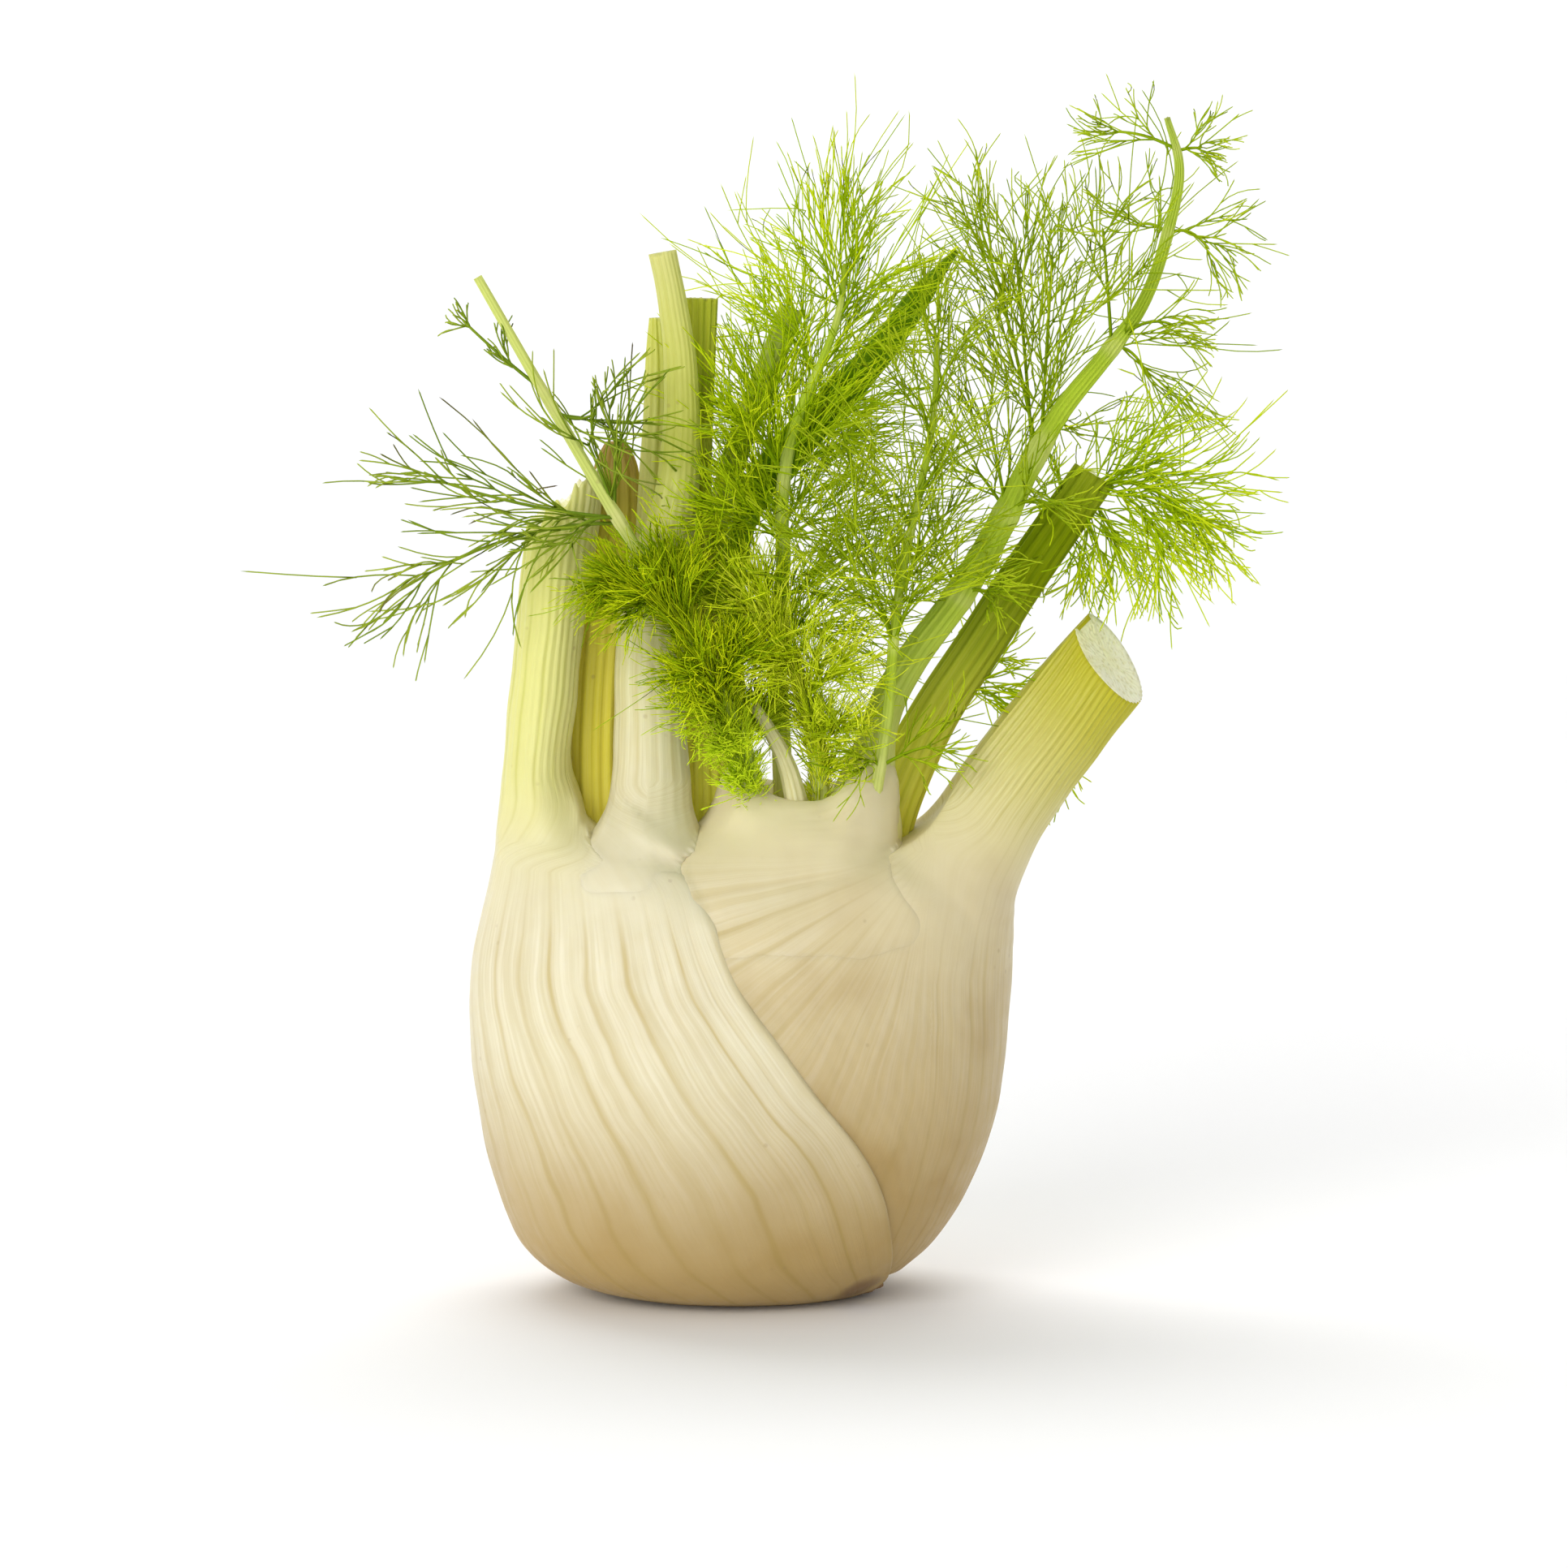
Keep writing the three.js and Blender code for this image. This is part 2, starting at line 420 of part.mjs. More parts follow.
// The plumes of each leaf: where each leaves its stem, as a share of the stem's length, where its tip
// is, how far its middle arches up, how many whorls of threads it carries and how long they are
const PLUMES = {
  tall_leaf: [
    { at: 0.37, tip: [31, 4, 146], arch: 3, whorls: 2, reach: 11 },
    { at: 0.37, tip: [54, -9, 131], arch: 4, whorls: 1, reach: 9 },
    { at: 0.48, tip: [37, 7, 163], arch: 2, whorls: 2, reach: 13 },
    { at: 0.48, tip: [43, -5, 178], arch: 3, whorls: 2, reach: 14 },
    { at: 0.48, tip: [65, -10, 149], arch: 6, whorls: 1, reach: 10 },
    { at: 0.55, tip: [50, 6, 211], arch: 4, whorls: 4, reach: 17 },
    { at: 0.56, tip: [41, -3, 212], arch: 8, whorls: 3, reach: 15 },
    { at: 0.57, tip: [59, 0, 208], arch: 2, whorls: 3, reach: 16 },
    { at: 0.58, tip: [64, 14, 166], arch: 5, whorls: 1, reach: 11 },
    { at: 0.71, tip: [66, -4, 211], arch: 4, whorls: 3, reach: 15 },
    { at: 0.72, tip: [91, -5, 183], arch: 8, whorls: 2, reach: 13 },
    { at: 0.71, tip: [84, 7, 164], arch: 9, whorls: 2, reach: 14 },
    { at: 0.86, tip: [68, 8, 199], arch: 4, whorls: 1, reach: 11 },
    { at: 0.86, tip: [95, 2, 190.5], arch: 8, whorls: 2, reach: 10 },
    { at: 0.96, tip: [61, -4, 217], arch: 3, whorls: 1, reach: 9 },
    { at: 0.96, tip: [90, 1, 212.5], arch: 1, whorls: 1, reach: 7 },
  ],
  green_leaf: [
    { at: 0.95, tip: [98, -1, 140], arch: 14, whorls: 3, reach: 15 },
    { at: 0.95, tip: [91, 4, 130], arch: 16, whorls: 3, reach: 13 },
    { at: 0.94, tip: [86, 10, 156.5], arch: 6, whorls: 2, reach: 11 },
    { at: 0.93, tip: [72, 2, 125.5], arch: 7, whorls: 2, reach: 13 },
    { at: 0.9, tip: [61, 20, 126.5], arch: 4, whorls: 2, reach: 11 },
    { at: 0.9, tip: [54, 5, 149], arch: 3, whorls: 1, reach: 8 },
    { at: 0.93, tip: [78, 20, 133], arch: 10, whorls: 2, reach: 12 },
    { at: 0.42, tip: [66, 20, 91], arch: 16, whorls: 3, reach: 10 },
    { at: 0.44, tip: [53, 22, 123], arch: 1, whorls: 1, reach: 10 },
  ],
  central_leaf: [
    { at: 0.36, tip: [-20.5, -15, 139], arch: 5, whorls: 4, reach: 13 },
    { at: 0.4, tip: [-9, 6, 139], arch: 4, whorls: 2, reach: 11 },
    { at: 0.5, tip: [-11.5, -10, 151], arch: 5, whorls: 3, reach: 12 },
    { at: 0.55, tip: [-8, 6, 157], arch: 4, whorls: 2, reach: 11 },
    { at: 0.61, tip: [-5, -6, 169], arch: 5, whorls: 3, reach: 12 },
    { at: 0.62, tip: [3, 7, 178], arch: 4, whorls: 2, reach: 12 },
    { at: 0.92, tip: [13, -4, 196], arch: 1, whorls: 2, reach: 12 },
    { at: 0.93, tip: [20.5, 2, 198.5], arch: 0, whorls: 2, reach: 12 },
    { at: 0.9, tip: [27.5, -3, 194], arch: 1, whorls: 2, reach: 12 },
    { at: 0.8, tip: [28, 6, 186], arch: 2, whorls: 2, reach: 12 },
    { at: 0.8, tip: [6, 3, 188], arch: 2, whorls: 2, reach: 12 },
    { at: 0.66, tip: [26, -8, 166], arch: 4, whorls: 2, reach: 12 },
    { at: 0.6, tip: [24, 9, 163], arch: 4, whorls: 2, reach: 11 },
    { at: 0.5, tip: [24, 6, 149], arch: 4, whorls: 2, reach: 11 },
    { at: 0.4, tip: [22, -6, 137], arch: 4, whorls: 2, reach: 11 },
    { at: 0.34, tip: [22, 8, 127], arch: 4, whorls: 2, reach: 11 },
    { at: 0.48, tip: [10, 28, 151], arch: 5, whorls: 2, reach: 13 },
    { at: 0.64, tip: [16, 26, 172], arch: 4, whorls: 2, reach: 13 },
  ],
  young_front_leaf: [
    { at: 0.995, tip: [-28, -22, 134], arch: 0, whorls: 1, reach: 7 },
    { at: 0.85, tip: [-24, -25, 129], arch: 2, whorls: 2, reach: 7 },
    { at: 0.7, tip: [-19, -17, 139], arch: 2, whorls: 2, reach: 7 },
    { at: 0.55, tip: [-17, -25, 119], arch: 3, whorls: 2, reach: 8 },
    { at: 0.4, tip: [-14.5, -22, 112], arch: 3, whorls: 2, reach: 8 },
    { at: 0.24, tip: [-8, -21, 105], arch: 2, whorls: 2, reach: 7 },
    { at: 0.12, tip: [-2, -18, 99], arch: 1, whorls: 1, reach: 6 },
    { at: 0.5, tip: [0.5, -24, 122], arch: 3, whorls: 2, reach: 8 },
    { at: 0.3, tip: [3.5, -21, 112], arch: 2, whorls: 2, reach: 7 },
  ],
  young_heart_leaf: [
    { at: 0.99, tip: [3, -14, 132], arch: 1, whorls: 2, reach: 8 },
    { at: 0.75, tip: [5, -19, 121], arch: 3, whorls: 2, reach: 7 },
    { at: 0.6, tip: [19, -16, 121], arch: 2, whorls: 2, reach: 8 },
    { at: 0.35, tip: [20.5, -14, 110], arch: 2, whorls: 2, reach: 7 },
    { at: 0.2, tip: [19.5, -13, 101], arch: 2, whorls: 1, reach: 6 },
    { at: 0.4, tip: [9.5, -17, 109], arch: 2, whorls: 1, reach: 6 },
  ],
  slender_leaf: [
    { at: 0.995, tip: [35.5, -12, 184], arch: 0, whorls: 1, reach: 10 },
    { at: 0.86, tip: [40.5, -14, 180], arch: 1, whorls: 2, reach: 11 },
    { at: 0.8, tip: [31, -15, 175], arch: 2, whorls: 2, reach: 11 },
    { at: 0.66, tip: [41, -17, 163], arch: 2, whorls: 2, reach: 11 },
    { at: 0.6, tip: [25.5, -20, 158], arch: 3, whorls: 3, reach: 12 },
    { at: 0.37, tip: [15.5, -20, 152], arch: 5, whorls: 3, reach: 13 },
    { at: 0.36, tip: [38, -21, 143], arch: 4, whorls: 2, reach: 11 },
    { at: 0.36, tip: [21, -25, 139], arch: 4, whorls: 2, reach: 11 },
    { at: 0.1, tip: [42, -12, 106], arch: 2, whorls: 2, reach: 7 },
    { at: 0.1, tip: [20.5, -20, 102], arch: 3, whorls: 1, reach: 7 },
  ],
  wispy_leaf: [
    { at: 0.56, tip: [-83, -17, 133], arch: 5, whorls: 4, reach: 17 },
    { at: 0.57, tip: [-64, -19, 155], arch: -3, whorls: 2, reach: 11 },
    { at: 0.57, tip: [-30.3, -17, 169.5], arch: 1, whorls: 2, reach: 12 },
    { at: 0.58, tip: [-21.4, -12, 170], arch: -1, whorls: 1, reach: 9 },
    { at: 0.77, tip: [-17, -15, 163.5], arch: -6, whorls: 1, reach: 12 },
    { at: 0.57, tip: [-38, -24, 141], arch: 4, whorls: 2, reach: 11 },
    { at: 0.9, tip: [-46.5, -15, 192], arch: 0, whorls: 0, reach: 9 },
  ],
};

// Closest distance between two straight runs p to q and r to s
function distanceBetween(p, q, r, s) {
  const [d1, d2, w] = [q.clone().sub(p), s.clone().sub(r), p.clone().sub(r)];
  const [a, e, f, c, b] = [d1.dot(d1), d2.dot(d2), d2.dot(w), d1.dot(w), d1.dot(d2)];
  const denominator = a * e - b * b;
  let u = denominator > 1e-9 ? THREE.MathUtils.clamp((b * f - c * e) / denominator, 0, 1) : 0;
  const v = THREE.MathUtils.clamp((b * u + f) / e, 0, 1);
  u = THREE.MathUtils.clamp((b * v - c) / a, 0, 1);
  return p.clone().addScaledVector(d1, u).distanceTo(r.clone().addScaledVector(d2, v));
}

const parts = new Map(); // name to the piece's solid, its grown copy, its stem's curve and its colour
const strands = []; // every plume core and thread, for keeping two leaves apart

const STALK_THICK = 1.6; // half the thickness that a stalk's threads keep clear of

function addPart(name, rings, color, curve = null, thick = STALK_THICK) {
  parts.set(name, { solid: skin(rings), around: skin(grown(rings, GAP)), color, curve, thick });
}

function addStem(name, stem, sides, steps, rib, color) {
  const curve = smooth(stem.route);
  const thick = (stem.root + stem.tip) / 2;
  addPart(name, stemRings(curve, stem.root, stem.tip, sides, steps, rib), color, curve, thick);
}

// A stalk that bears plumes: its sections and the smooth line through their middles
function addBearer(name, stations, sides, rib, color) {
  addPart(name, stalkRings(stations, sides, rib), color, smooth(stations.map((s) => [s.x, s.y, s.z])));
}

// Thin pieces come first, and every later piece is cut clear of the ones before it
addStem("spike_leaf", spikeStem, 10, 8, 0.08, CREAM);
addStem("slender_leaf", slenderStem, 6, 12, 0, FROND_GREEN);
addStem("young_front_leaf", youngFrontStem, 8, 10, 0.12, YOUNG_GREEN);
addStem("young_heart_leaf", youngHeartStem, 8, 7, 0.12, YOUNG_GREEN);
addStem("central_leaf", centralStem, 8, 14, 0.14, FROND_GREEN);
addStem("wispy_leaf", wispyStem, 6, 12, 0, DULL_GREEN);
addBearer("green_leaf", greenStalk, 20, 0.4, STALK_GREEN);
addBearer("tall_leaf", tallStalk, 12, 0.3, FROND_GREEN);
addPart("middle_stalk", stalkRings(middleStalk, 20, 0.5), PALE_GREEN);
addPart("middle_stalk_left", stalkRings(middleStalkLeft, 14, 0.35), PALE_GREEN);
addPart("middle_stalk_right", stalkRings(middleStalkRight, 16, 0.4), STALK_GREEN);
addPart("olive_stalk", stalkRings(oliveStalk, 18, 0.45), STALK_GREEN);
addStem("rear_stalk_left", rearStalkLeft, 14, 10, 0.16, STALK_GREEN);
addStem("rear_stalk_right", rearStalkRight, 14, 14, 0.16, STALK_GREEN);
addPart("root_plate", stalkRings(rootPlate, 24, 0.8), ROOT_BROWN);
addPart("inner_sheath", stalkRings(innerSheath, 20, 0.5), CREAM);
addPart("outer_left_leaf", wrapRings(outerLeft, -1, 28, 3, 0.7), CREAM);
addPart("outer_right_leaf", wrapRings(outerRight, 1, 28, 3, 0.7), CREAM);

const largest = (solid) => solid.decompose().sort((p, q) => q.volume() - p.volume())[0];

// Cuts each piece clear of the ones before it, and drops the loose scraps
const order = [...parts.keys()];
order.forEach((name, i) => {
  const part = parts.get(name);
  for (const earlier of order.slice(0, i)) {
    part.solid = part.solid.subtract(parts.get(earlier).around);
  }
  part.solid = largest(part.solid);
});

// Whether a strand's points keep clear of other strands and of every other piece. A strand may come as
// near to another of its own leaf as the two can lie without crossing.
function isClear(name, points, radius, ownStem = true) {
  for (let i = 0; i + 1 < points.length; i += 1) {
    const length = points[i].distanceTo(points[i + 1]);
    for (const s of strands) {
      if (s.stem && (s.name !== name || !ownStem)) continue;
      const reach = s.radius + radius + (s.name === name ? OWN_CLEARANCE : STRAND_CLEARANCE);
      if (s.from.distanceTo(points[i]) - s.length - length > reach) continue;
      if (distanceBetween(points[i], points[i + 1], s.from, s.to) < reach) return false;
    }
  }
  return true;
}

function meetsPieces(name, solid) {
  return order.some((other) => other !== name && !solid.intersect(parts.get(other).around).isEmpty());
}

function remember(name, points, radius, stem = false) {
  for (let i = 0; i + 1 < points.length; i += 1) {
    const [from, to] = [points[i], points[i + 1]];
    strands.push({ name, from, to, radius, stem, length: from.distanceTo(to) });
  }
}

// Three-sided rings along a plume's curve at the given shares of its length. The last comes to a point.
function coreRings(curve, shares) {
  const chord = curve.v2.clone().sub(curve.v0).normalize();
  const aside = Math.abs(chord.y) > 0.75 ? new THREE.Vector3(1, 0, 0) : new THREE.Vector3(0, 1, 0);
  return shares.map((share) => {
    const along = curve.getTangentAt(share);
    const flat = aside.clone().cross(along).normalize();
    const deep = along.clone().cross(flat);
    const radius = share === 1 ? 0 : CORE_RADIUS + (THREAD_RADIUS - CORE_RADIUS) * share;
    return [0, 1, 2].map((k) => {
      const angle = (k / 3) * 2 * Math.PI;
      return curve
        .getPointAt(share)
        .addScaledVector(flat, radius * Math.cos(angle))
        .addScaledVector(deep, radius * Math.sin(angle));
    });
  });
}

// A slim core for a plume that arches from its stem to its tip, with two rings close together at each
// whorl. Where it would meet another leaf, it is bent to the front or the back, a little more each time.
function plumeCore(name, plume) {
  const root = parts.get(name).curve.getPointAt(plume.at);
  const spaced = (w) => FIRST_WHORL + (WHORL_SPAN * (w + 0.5)) / plume.whorls;
  const whorls = Array.from({ length: plume.whorls }, (_, w) => spaced(w));
  for (let attempt = 0; attempt < CORE_TRIES; attempt += 1) {
    const aside = Math.ceil(attempt / 2) * CORE_SHIFT * (attempt % 2 ? -1 : 1);
    const tip = vec(plume.tip).add(new THREE.Vector3(0, aside, 0));
    const middle = root.clone().lerp(tip, 0.5).add(new THREE.Vector3(0, aside * 0.7, plume.arch));
    const curve = new THREE.QuadraticBezierCurve3(root, middle, tip);
    const half = WHORL_LENGTH / 2 / curve.getLength();
    const rings = coreRings(curve, [0, ...whorls.flatMap((w) => [w - half, w + half]), 1]);
    const points = curve.getPoints(6);
    if (isClear(name, points.slice(1), CORE_RADIUS, false) && !meetsPieces(name, skin(rings))) {
      remember(name, points, CORE_RADIUS);
      return { curve, rings, whorls };
    }
  }
  return null;
}

// The course of one thread out of a core's face: root, bend and tip. It leans along the core, more so
// past its bend. The drawn numbers turn it about the core, lean it and vary its length by a quarter.
function threadCourse(along, corners, length, n) {
  const root = middleOf(corners);
  const face = corners[1].clone().sub(corners[0]).cross(corners[2].clone().sub(corners[0])).normalize();
  const out = face.applyAxisAngle(along, (draw(n) - 0.5) * 0.9);
  const lean = THREAD_LEAN + LEAN_SPREAD * draw(n + 3);
  const heading = along.clone().multiplyScalar(Math.cos(lean)).addScaledVector(out, Math.sin(lean));
  const size = length * (0.75 + 0.5 * draw(n + 5));
  const bend = root.clone().addScaledVector(heading, size * 0.58);
  const tip = root.clone().addScaledVector(heading, size * 0.9).addScaledVector(along, size * 0.16);
  return [root, bend, tip];
}

// One plume as one skin: the core, with a pointed thread drawn out of most faces of each whorl's short
// step. A thread that would meet anything is drawn again, or left out.
function growPlume(name, plume, seed) {
  const core = plumeCore(name, plume);
  if (!core) return null;
  const points = core.rings.flat();
  const triangles = [[2, 1, 0]];
  for (let step = 0; step + 1 < core.rings.length; step += 1) {
    const whorl = (step - 1) / 2;
    for (let k = 0; k < 6; k += 1) {
      const next = ((k >> 1) + 1) % 3;
      const face = k % 2 ? [next, next + 3, (k >> 1) + 3] : [k >> 1, next, (k >> 1) + 3];
      const ids = face.map((v) => v + step * 3);
      const bears = Number.isInteger(whorl) && whorl < plume.whorls && k < THREADS_A_WHORL;
      const corners = ids.map((v) => points[v]);
      const first = seed * SEEDS_A_PLUME + step * SEEDS_A_RING + k;
      const course = bears ? clearThread(name, plume, core, corners, whorl, first) : null;
      if (course) drawOut(points, triangles, ids, course);
      else triangles.push(ids);
    }
  }
  return skinOf(points, triangles);
}

// A thread's course that meets nothing, out of a few tries
function clearThread(name, plume, core, corners, whorl, n) {
  const share = core.whorls[whorl];
  const along = core.curve.getTangentAt(share);
  const length = plume.reach * (1.08 - 0.5 * share);
  for (let attempt = 0; attempt < THREAD_TRIES; attempt += 1) {
    const tried = length * (1 - TRY_SHORTER * attempt);
    const course = threadCourse(along, corners, tried, n + attempt * SEEDS_A_TRY);
    const free = [course[0].clone().lerp(course[1], 0.3), course[1], course[2]];
    const body = skin(threadRings(corners, course));
    if (isClear(name, free, THREAD_RADIUS) && !meetsPieces(name, body)) {
      remember(name, free, THREAD_RADIUS);
      return course;
    }
  }
  return null;
}

// A thread's three rings: the face it grows from, its bend and its point
function threadRings(corners, [root, bend, tip]) {
  const heading = bend.clone().sub(root).normalize();
  const first = corners[0].clone().sub(root);
  first.addScaledVector(heading, -first.dot(heading)).normalize();
  const second = heading.clone().cross(first);
  const ring = [0, 1, 2].map((k) => {
    const angle = (k / 3) * 2 * Math.PI;
    return bend
      .clone()
      .addScaledVector(first, THREAD_RADIUS * Math.cos(angle))
      .addScaledVector(second, THREAD_RADIUS * Math.sin(angle));
  });
  return [corners, ring, [tip, tip, tip]];
}

// Adds a thread's points and triangles to a plume, in place of the face it grows from
function drawOut(points, triangles, ids, course) {
  const [, ring, [tip]] = threadRings(ids.map((v) => points[v]), course);
  const start = points.length;
  points.push(...ring, tip);
  for (let k = 0; k < 3; k += 1) {
    const next = (k + 1) % 3;
    triangles.push([ids[k], ids[next], start + k], [ids[next], start + next, start + k]);
    triangles.push([start + k, start + next, start + 3]);
  }
}

let seed = 1;
for (const [name, plumes] of Object.entries(PLUMES)) {
  const part = parts.get(name);
  remember(name, part.curve.getSpacedPoints(14), part.thick, true);
  for (const plume of plumes) {
    const solid = growPlume(name, plume, seed);
    if (solid) part.solid = part.solid.add(solid);
    seed += 1;
  }
  part.solid = largest(part.solid);
}

// A solid as a named mesh with its own material
function meshOf(name, { solid, color }) {
  const { vertProperties, triVerts } = solid.getMesh();
  const geometry = new THREE.BufferGeometry();
  geometry.setAttribute("position", new THREE.Float32BufferAttribute(vertProperties, 3));
  geometry.setIndex([...triVerts]);
  geometry.computeVertexNormals();
  const mesh = new THREE.Mesh(
    geometry,
    new THREE.MeshStandardMaterial({ color, roughness: 0.5, metalness: 0 }),
  );
  mesh.name = name;
  return mesh;
}

const fennel = new THREE.Group();
for (const [name, part] of parts) fennel.add(meshOf(name, part));

export default fennel;
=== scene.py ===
"""A Florence fennel bulb with cut stalks and feathery fronds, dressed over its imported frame.

Sizes are millimetres in the tables and metres in the meshes. The front of the bulb faces -Y.
"""
import copy
import math

import bpy
import numpy as np
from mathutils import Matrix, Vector


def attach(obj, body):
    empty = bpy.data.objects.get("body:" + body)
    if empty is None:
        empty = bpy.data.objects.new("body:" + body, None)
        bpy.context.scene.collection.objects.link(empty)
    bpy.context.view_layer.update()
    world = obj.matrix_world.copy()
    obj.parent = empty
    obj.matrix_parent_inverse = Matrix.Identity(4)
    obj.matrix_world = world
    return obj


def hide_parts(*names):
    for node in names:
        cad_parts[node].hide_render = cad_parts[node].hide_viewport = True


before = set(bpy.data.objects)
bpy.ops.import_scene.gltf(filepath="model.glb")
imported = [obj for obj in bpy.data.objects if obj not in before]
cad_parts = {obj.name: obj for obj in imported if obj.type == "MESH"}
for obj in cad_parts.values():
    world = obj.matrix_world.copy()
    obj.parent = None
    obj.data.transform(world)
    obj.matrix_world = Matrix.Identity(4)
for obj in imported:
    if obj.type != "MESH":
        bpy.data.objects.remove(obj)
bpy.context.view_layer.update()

MM = 0.001

# The bulb's leaf bases
SHEATH_STEP = 0.5  # the left sheath stands this much proud of the bulb, the right one sunk by it
RIGHT_REACH = 16  # the right leaf runs on under the left one by this many degrees
TURN_SHARES = (0, 0.53, 0.816, 1)  # places across a wrapping leaf, whose inner two a section can turn
CHORD_POINTS = 40  # in the straight run that closes a wrapping leaf inside

# Outline of the bulb by height: height, left edge, right edge, half depth
OUTLINE = [
    (0.6, -23, 25, 17.5), (2.2, -29, 28, 21.5), (5, -34.5, 32, 25), (9, -38.8, 36.8, 28),
    (15, -42, 41.3, 30.5), (23, -45, 45.2, 32.7), (32, -47.3, 48.6, 34.2), (42, -48.6, 50.6, 35),
    (52, -48.8, 51.4, 34.8), (61, -48.1, 51.5, 33.2),
]
# Where the left leaf ends there at the front and the back, in degrees past the middle
LEFT_MARGINS = [
    (74, 60), (70, 58), (62, 54), (52, 48), (44, 42), (37, 36), (28, 30), (17, 24), (8, 18), (0, 12),
]


# Numbers and curves

def draw(n):
    """A number between 0 and 1 for each whole number: the fraction of a large multiple of its sine."""
    s = np.sin(np.asarray(n, float) * 12.9898 + 4.1414) * 43758.5453
    return s - np.floor(s)


def about(ids, seed, width):
    """A seeded draw for each id, even about 0 over the given width."""
    return (draw(ids + seed) - 0.5) * width


def smoothstep(low, high, x):
    """0 below low, 1 above high, and 3t^2 - 2t^3 between them."""
    t = np.clip((np.asarray(x, float) - low) / (high - low), 0, 1)
    return t * t * (3 - 2 * t)


def band(x, start, full, fading, end):
    """0 outside start and end and 1 from full to fading, with a smooth step on either side."""
    return smoothstep(start, full, x) * smoothstep(end, fading, x)


def unit(v):
    """Each vector over its own length."""
    return v / np.maximum(np.linalg.norm(v, axis=-1, keepdims=True), 1e-9)


def distances(line):
    """How far along a run of points each one lies."""
    return np.append(0, np.cumsum(np.linalg.norm(np.diff(line, axis=0), axis=1)))


def through(knots, values, where):
    """A cubic through each value at its knot. The slope at a knot is that of the parabola through it
    and its two neighbours, so the curve is smooth where the knots are uneven."""
    wide = (-1,) + (1,) * (values.ndim - 1)
    gap = np.diff(knots).reshape(wide)
    rise = np.diff(values, axis=0) / gap
    slope = np.empty_like(values)
    slope[1:-1] = (rise[1:] * gap[:-1] + rise[:-1] * gap[1:]) / (gap[1:] + gap[:-1])
    slope[0], slope[-1] = rise[0], rise[-1]
    i = np.clip(np.searchsorted(knots, where, side="right") - 1, 0, len(knots) - 2)
    t = ((where - knots[i]) / (knots[i + 1] - knots[i])).reshape(wide)
    return (
        (2 * t**3 - 3 * t**2 + 1) * values[i]
        + (t**3 - 2 * t**2 + t) * gap[i] * slope[i]
        + (3 * t**2 - 2 * t**3) * values[i + 1]
        + (t**3 - t**2) * gap[i] * slope[i + 1]
    )


def soft_noise(p, size, seed=0):
    """A smooth random value near -1 to 1 at each point: the sum of six sines of the point along fixed
    random directions, with wavelengths around the given size."""
    total = np.zeros(p.shape[:-1])
    for n in seed + 10 * np.arange(6):
        way = unit(draw(n + np.arange(3)) - 0.5)
        wavelength = size * (0.7 + 0.6 * draw(n + 4))
        total += np.sin(p @ way * 2 * math.pi / wavelength + 6.28 * draw(n + 5))
    return total / 3


def waves(p, sizes):
    """Soft noise of several sizes in one, each given as its height, its width and its seed."""
    return sum(height * soft_noise(p, width, seed) for height, width, seed in sizes)


# Meshes

def add_object(name, data):
    """An object at the world's origin that holds the data."""
    thing = bpy.data.objects.new(name, data)
    bpy.context.collection.objects.link(thing)
    return thing


def mesh_piece(name, points, faces, uv, marks, materials, nodes, face_materials=0):
    """An object from arrays: points in millimetres, three corners a face, a UV pair and named numbers
    for each point. It rides on the root and replaces the given nodes."""
    mesh = bpy.data.meshes.new(name)
    mesh.vertices.add(len(points))
    mesh.vertices.foreach_set("co", (points * MM).astype(np.float32).ravel())
    mesh.loops.add(faces.size)
    mesh.loops.foreach_set("vertex_index", faces.astype(np.int32).ravel())
    mesh.polygons.add(len(faces))
    mesh.polygons.foreach_set("loop_start", np.arange(0, faces.size, 3, dtype=np.int32))
    mesh.polygons.foreach_set("use_smooth", np.ones(len(faces), bool))
    layer = mesh.uv_layers.new(name="leaf")
    layer.data.foreach_set("uv", uv[faces.ravel()].astype(np.float32).ravel())
    for mark, values in marks.items():
        attribute = mesh.attributes.new(mark, "FLOAT", "POINT")
        attribute.data.foreach_set("value", values.astype(np.float32))
    for material in materials:
        mesh.materials.append(material)
    indices = np.broadcast_to(face_materials, len(faces)).astype(np.int32)
    mesh.polygons.foreach_set("material_index", indices)
    mesh.update(calc_edges=True)
    mesh.validate()
    piece = add_object(name, mesh)
    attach(piece, "root")
    if nodes:
        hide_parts(*nodes)
    return piece


def strips(ids):
    """Triangles between the rows of a table of point numbers, where each row is a closed ring. They
    face out where a ring turns counter-clockwise about the way the rows run."""
    p, r = ids[:-1], ids[1:]
    q, s = np.roll(p, -1, 1), np.roll(r, -1, 1)
    return np.concatenate([np.stack(corners, -1).reshape(-1, 3) for corners in ((p, q, r), (q, s, r))])


CAP_ROWS = 7
NEAR_DISH = 0.3  # the near end is dished by this share of the far one's depth


def end_cap(edge, inside, edge_ids, first_id, dish, grain):
    """An end ring closed by rings that shrink evenly to its middle. They are dished by the depth times
    1 - share^2, where the share is 1 at the edge and 0 in the middle, and roughened by quick noise.
    Gives the new points, and the triangles with them."""
    hub = edge.mean(0)
    away = unit(hub - inside.mean(0))
    share = np.linspace(1, 0, CAP_ROWS + 2)[1:-1, None, None]
    rings = hub + (edge - hub) * share
    rings = rings + away * (grain * soft_noise(rings, 1.1, 7)[..., None] - dish * (1 - share**2))
    points = np.concatenate([rings.reshape(-1, 3), [hub - away * dish]])
    new_ids = first_id + np.arange(CAP_ROWS * len(edge)).reshape(CAP_ROWS, -1)
    last = new_ids[-1]
    fan = np.stack([last, np.roll(last, -1), np.full(len(last), last[-1] + 1)], 1)
    return points, np.concatenate([strips(np.concatenate([edge_ids[None], new_ids])), fan])


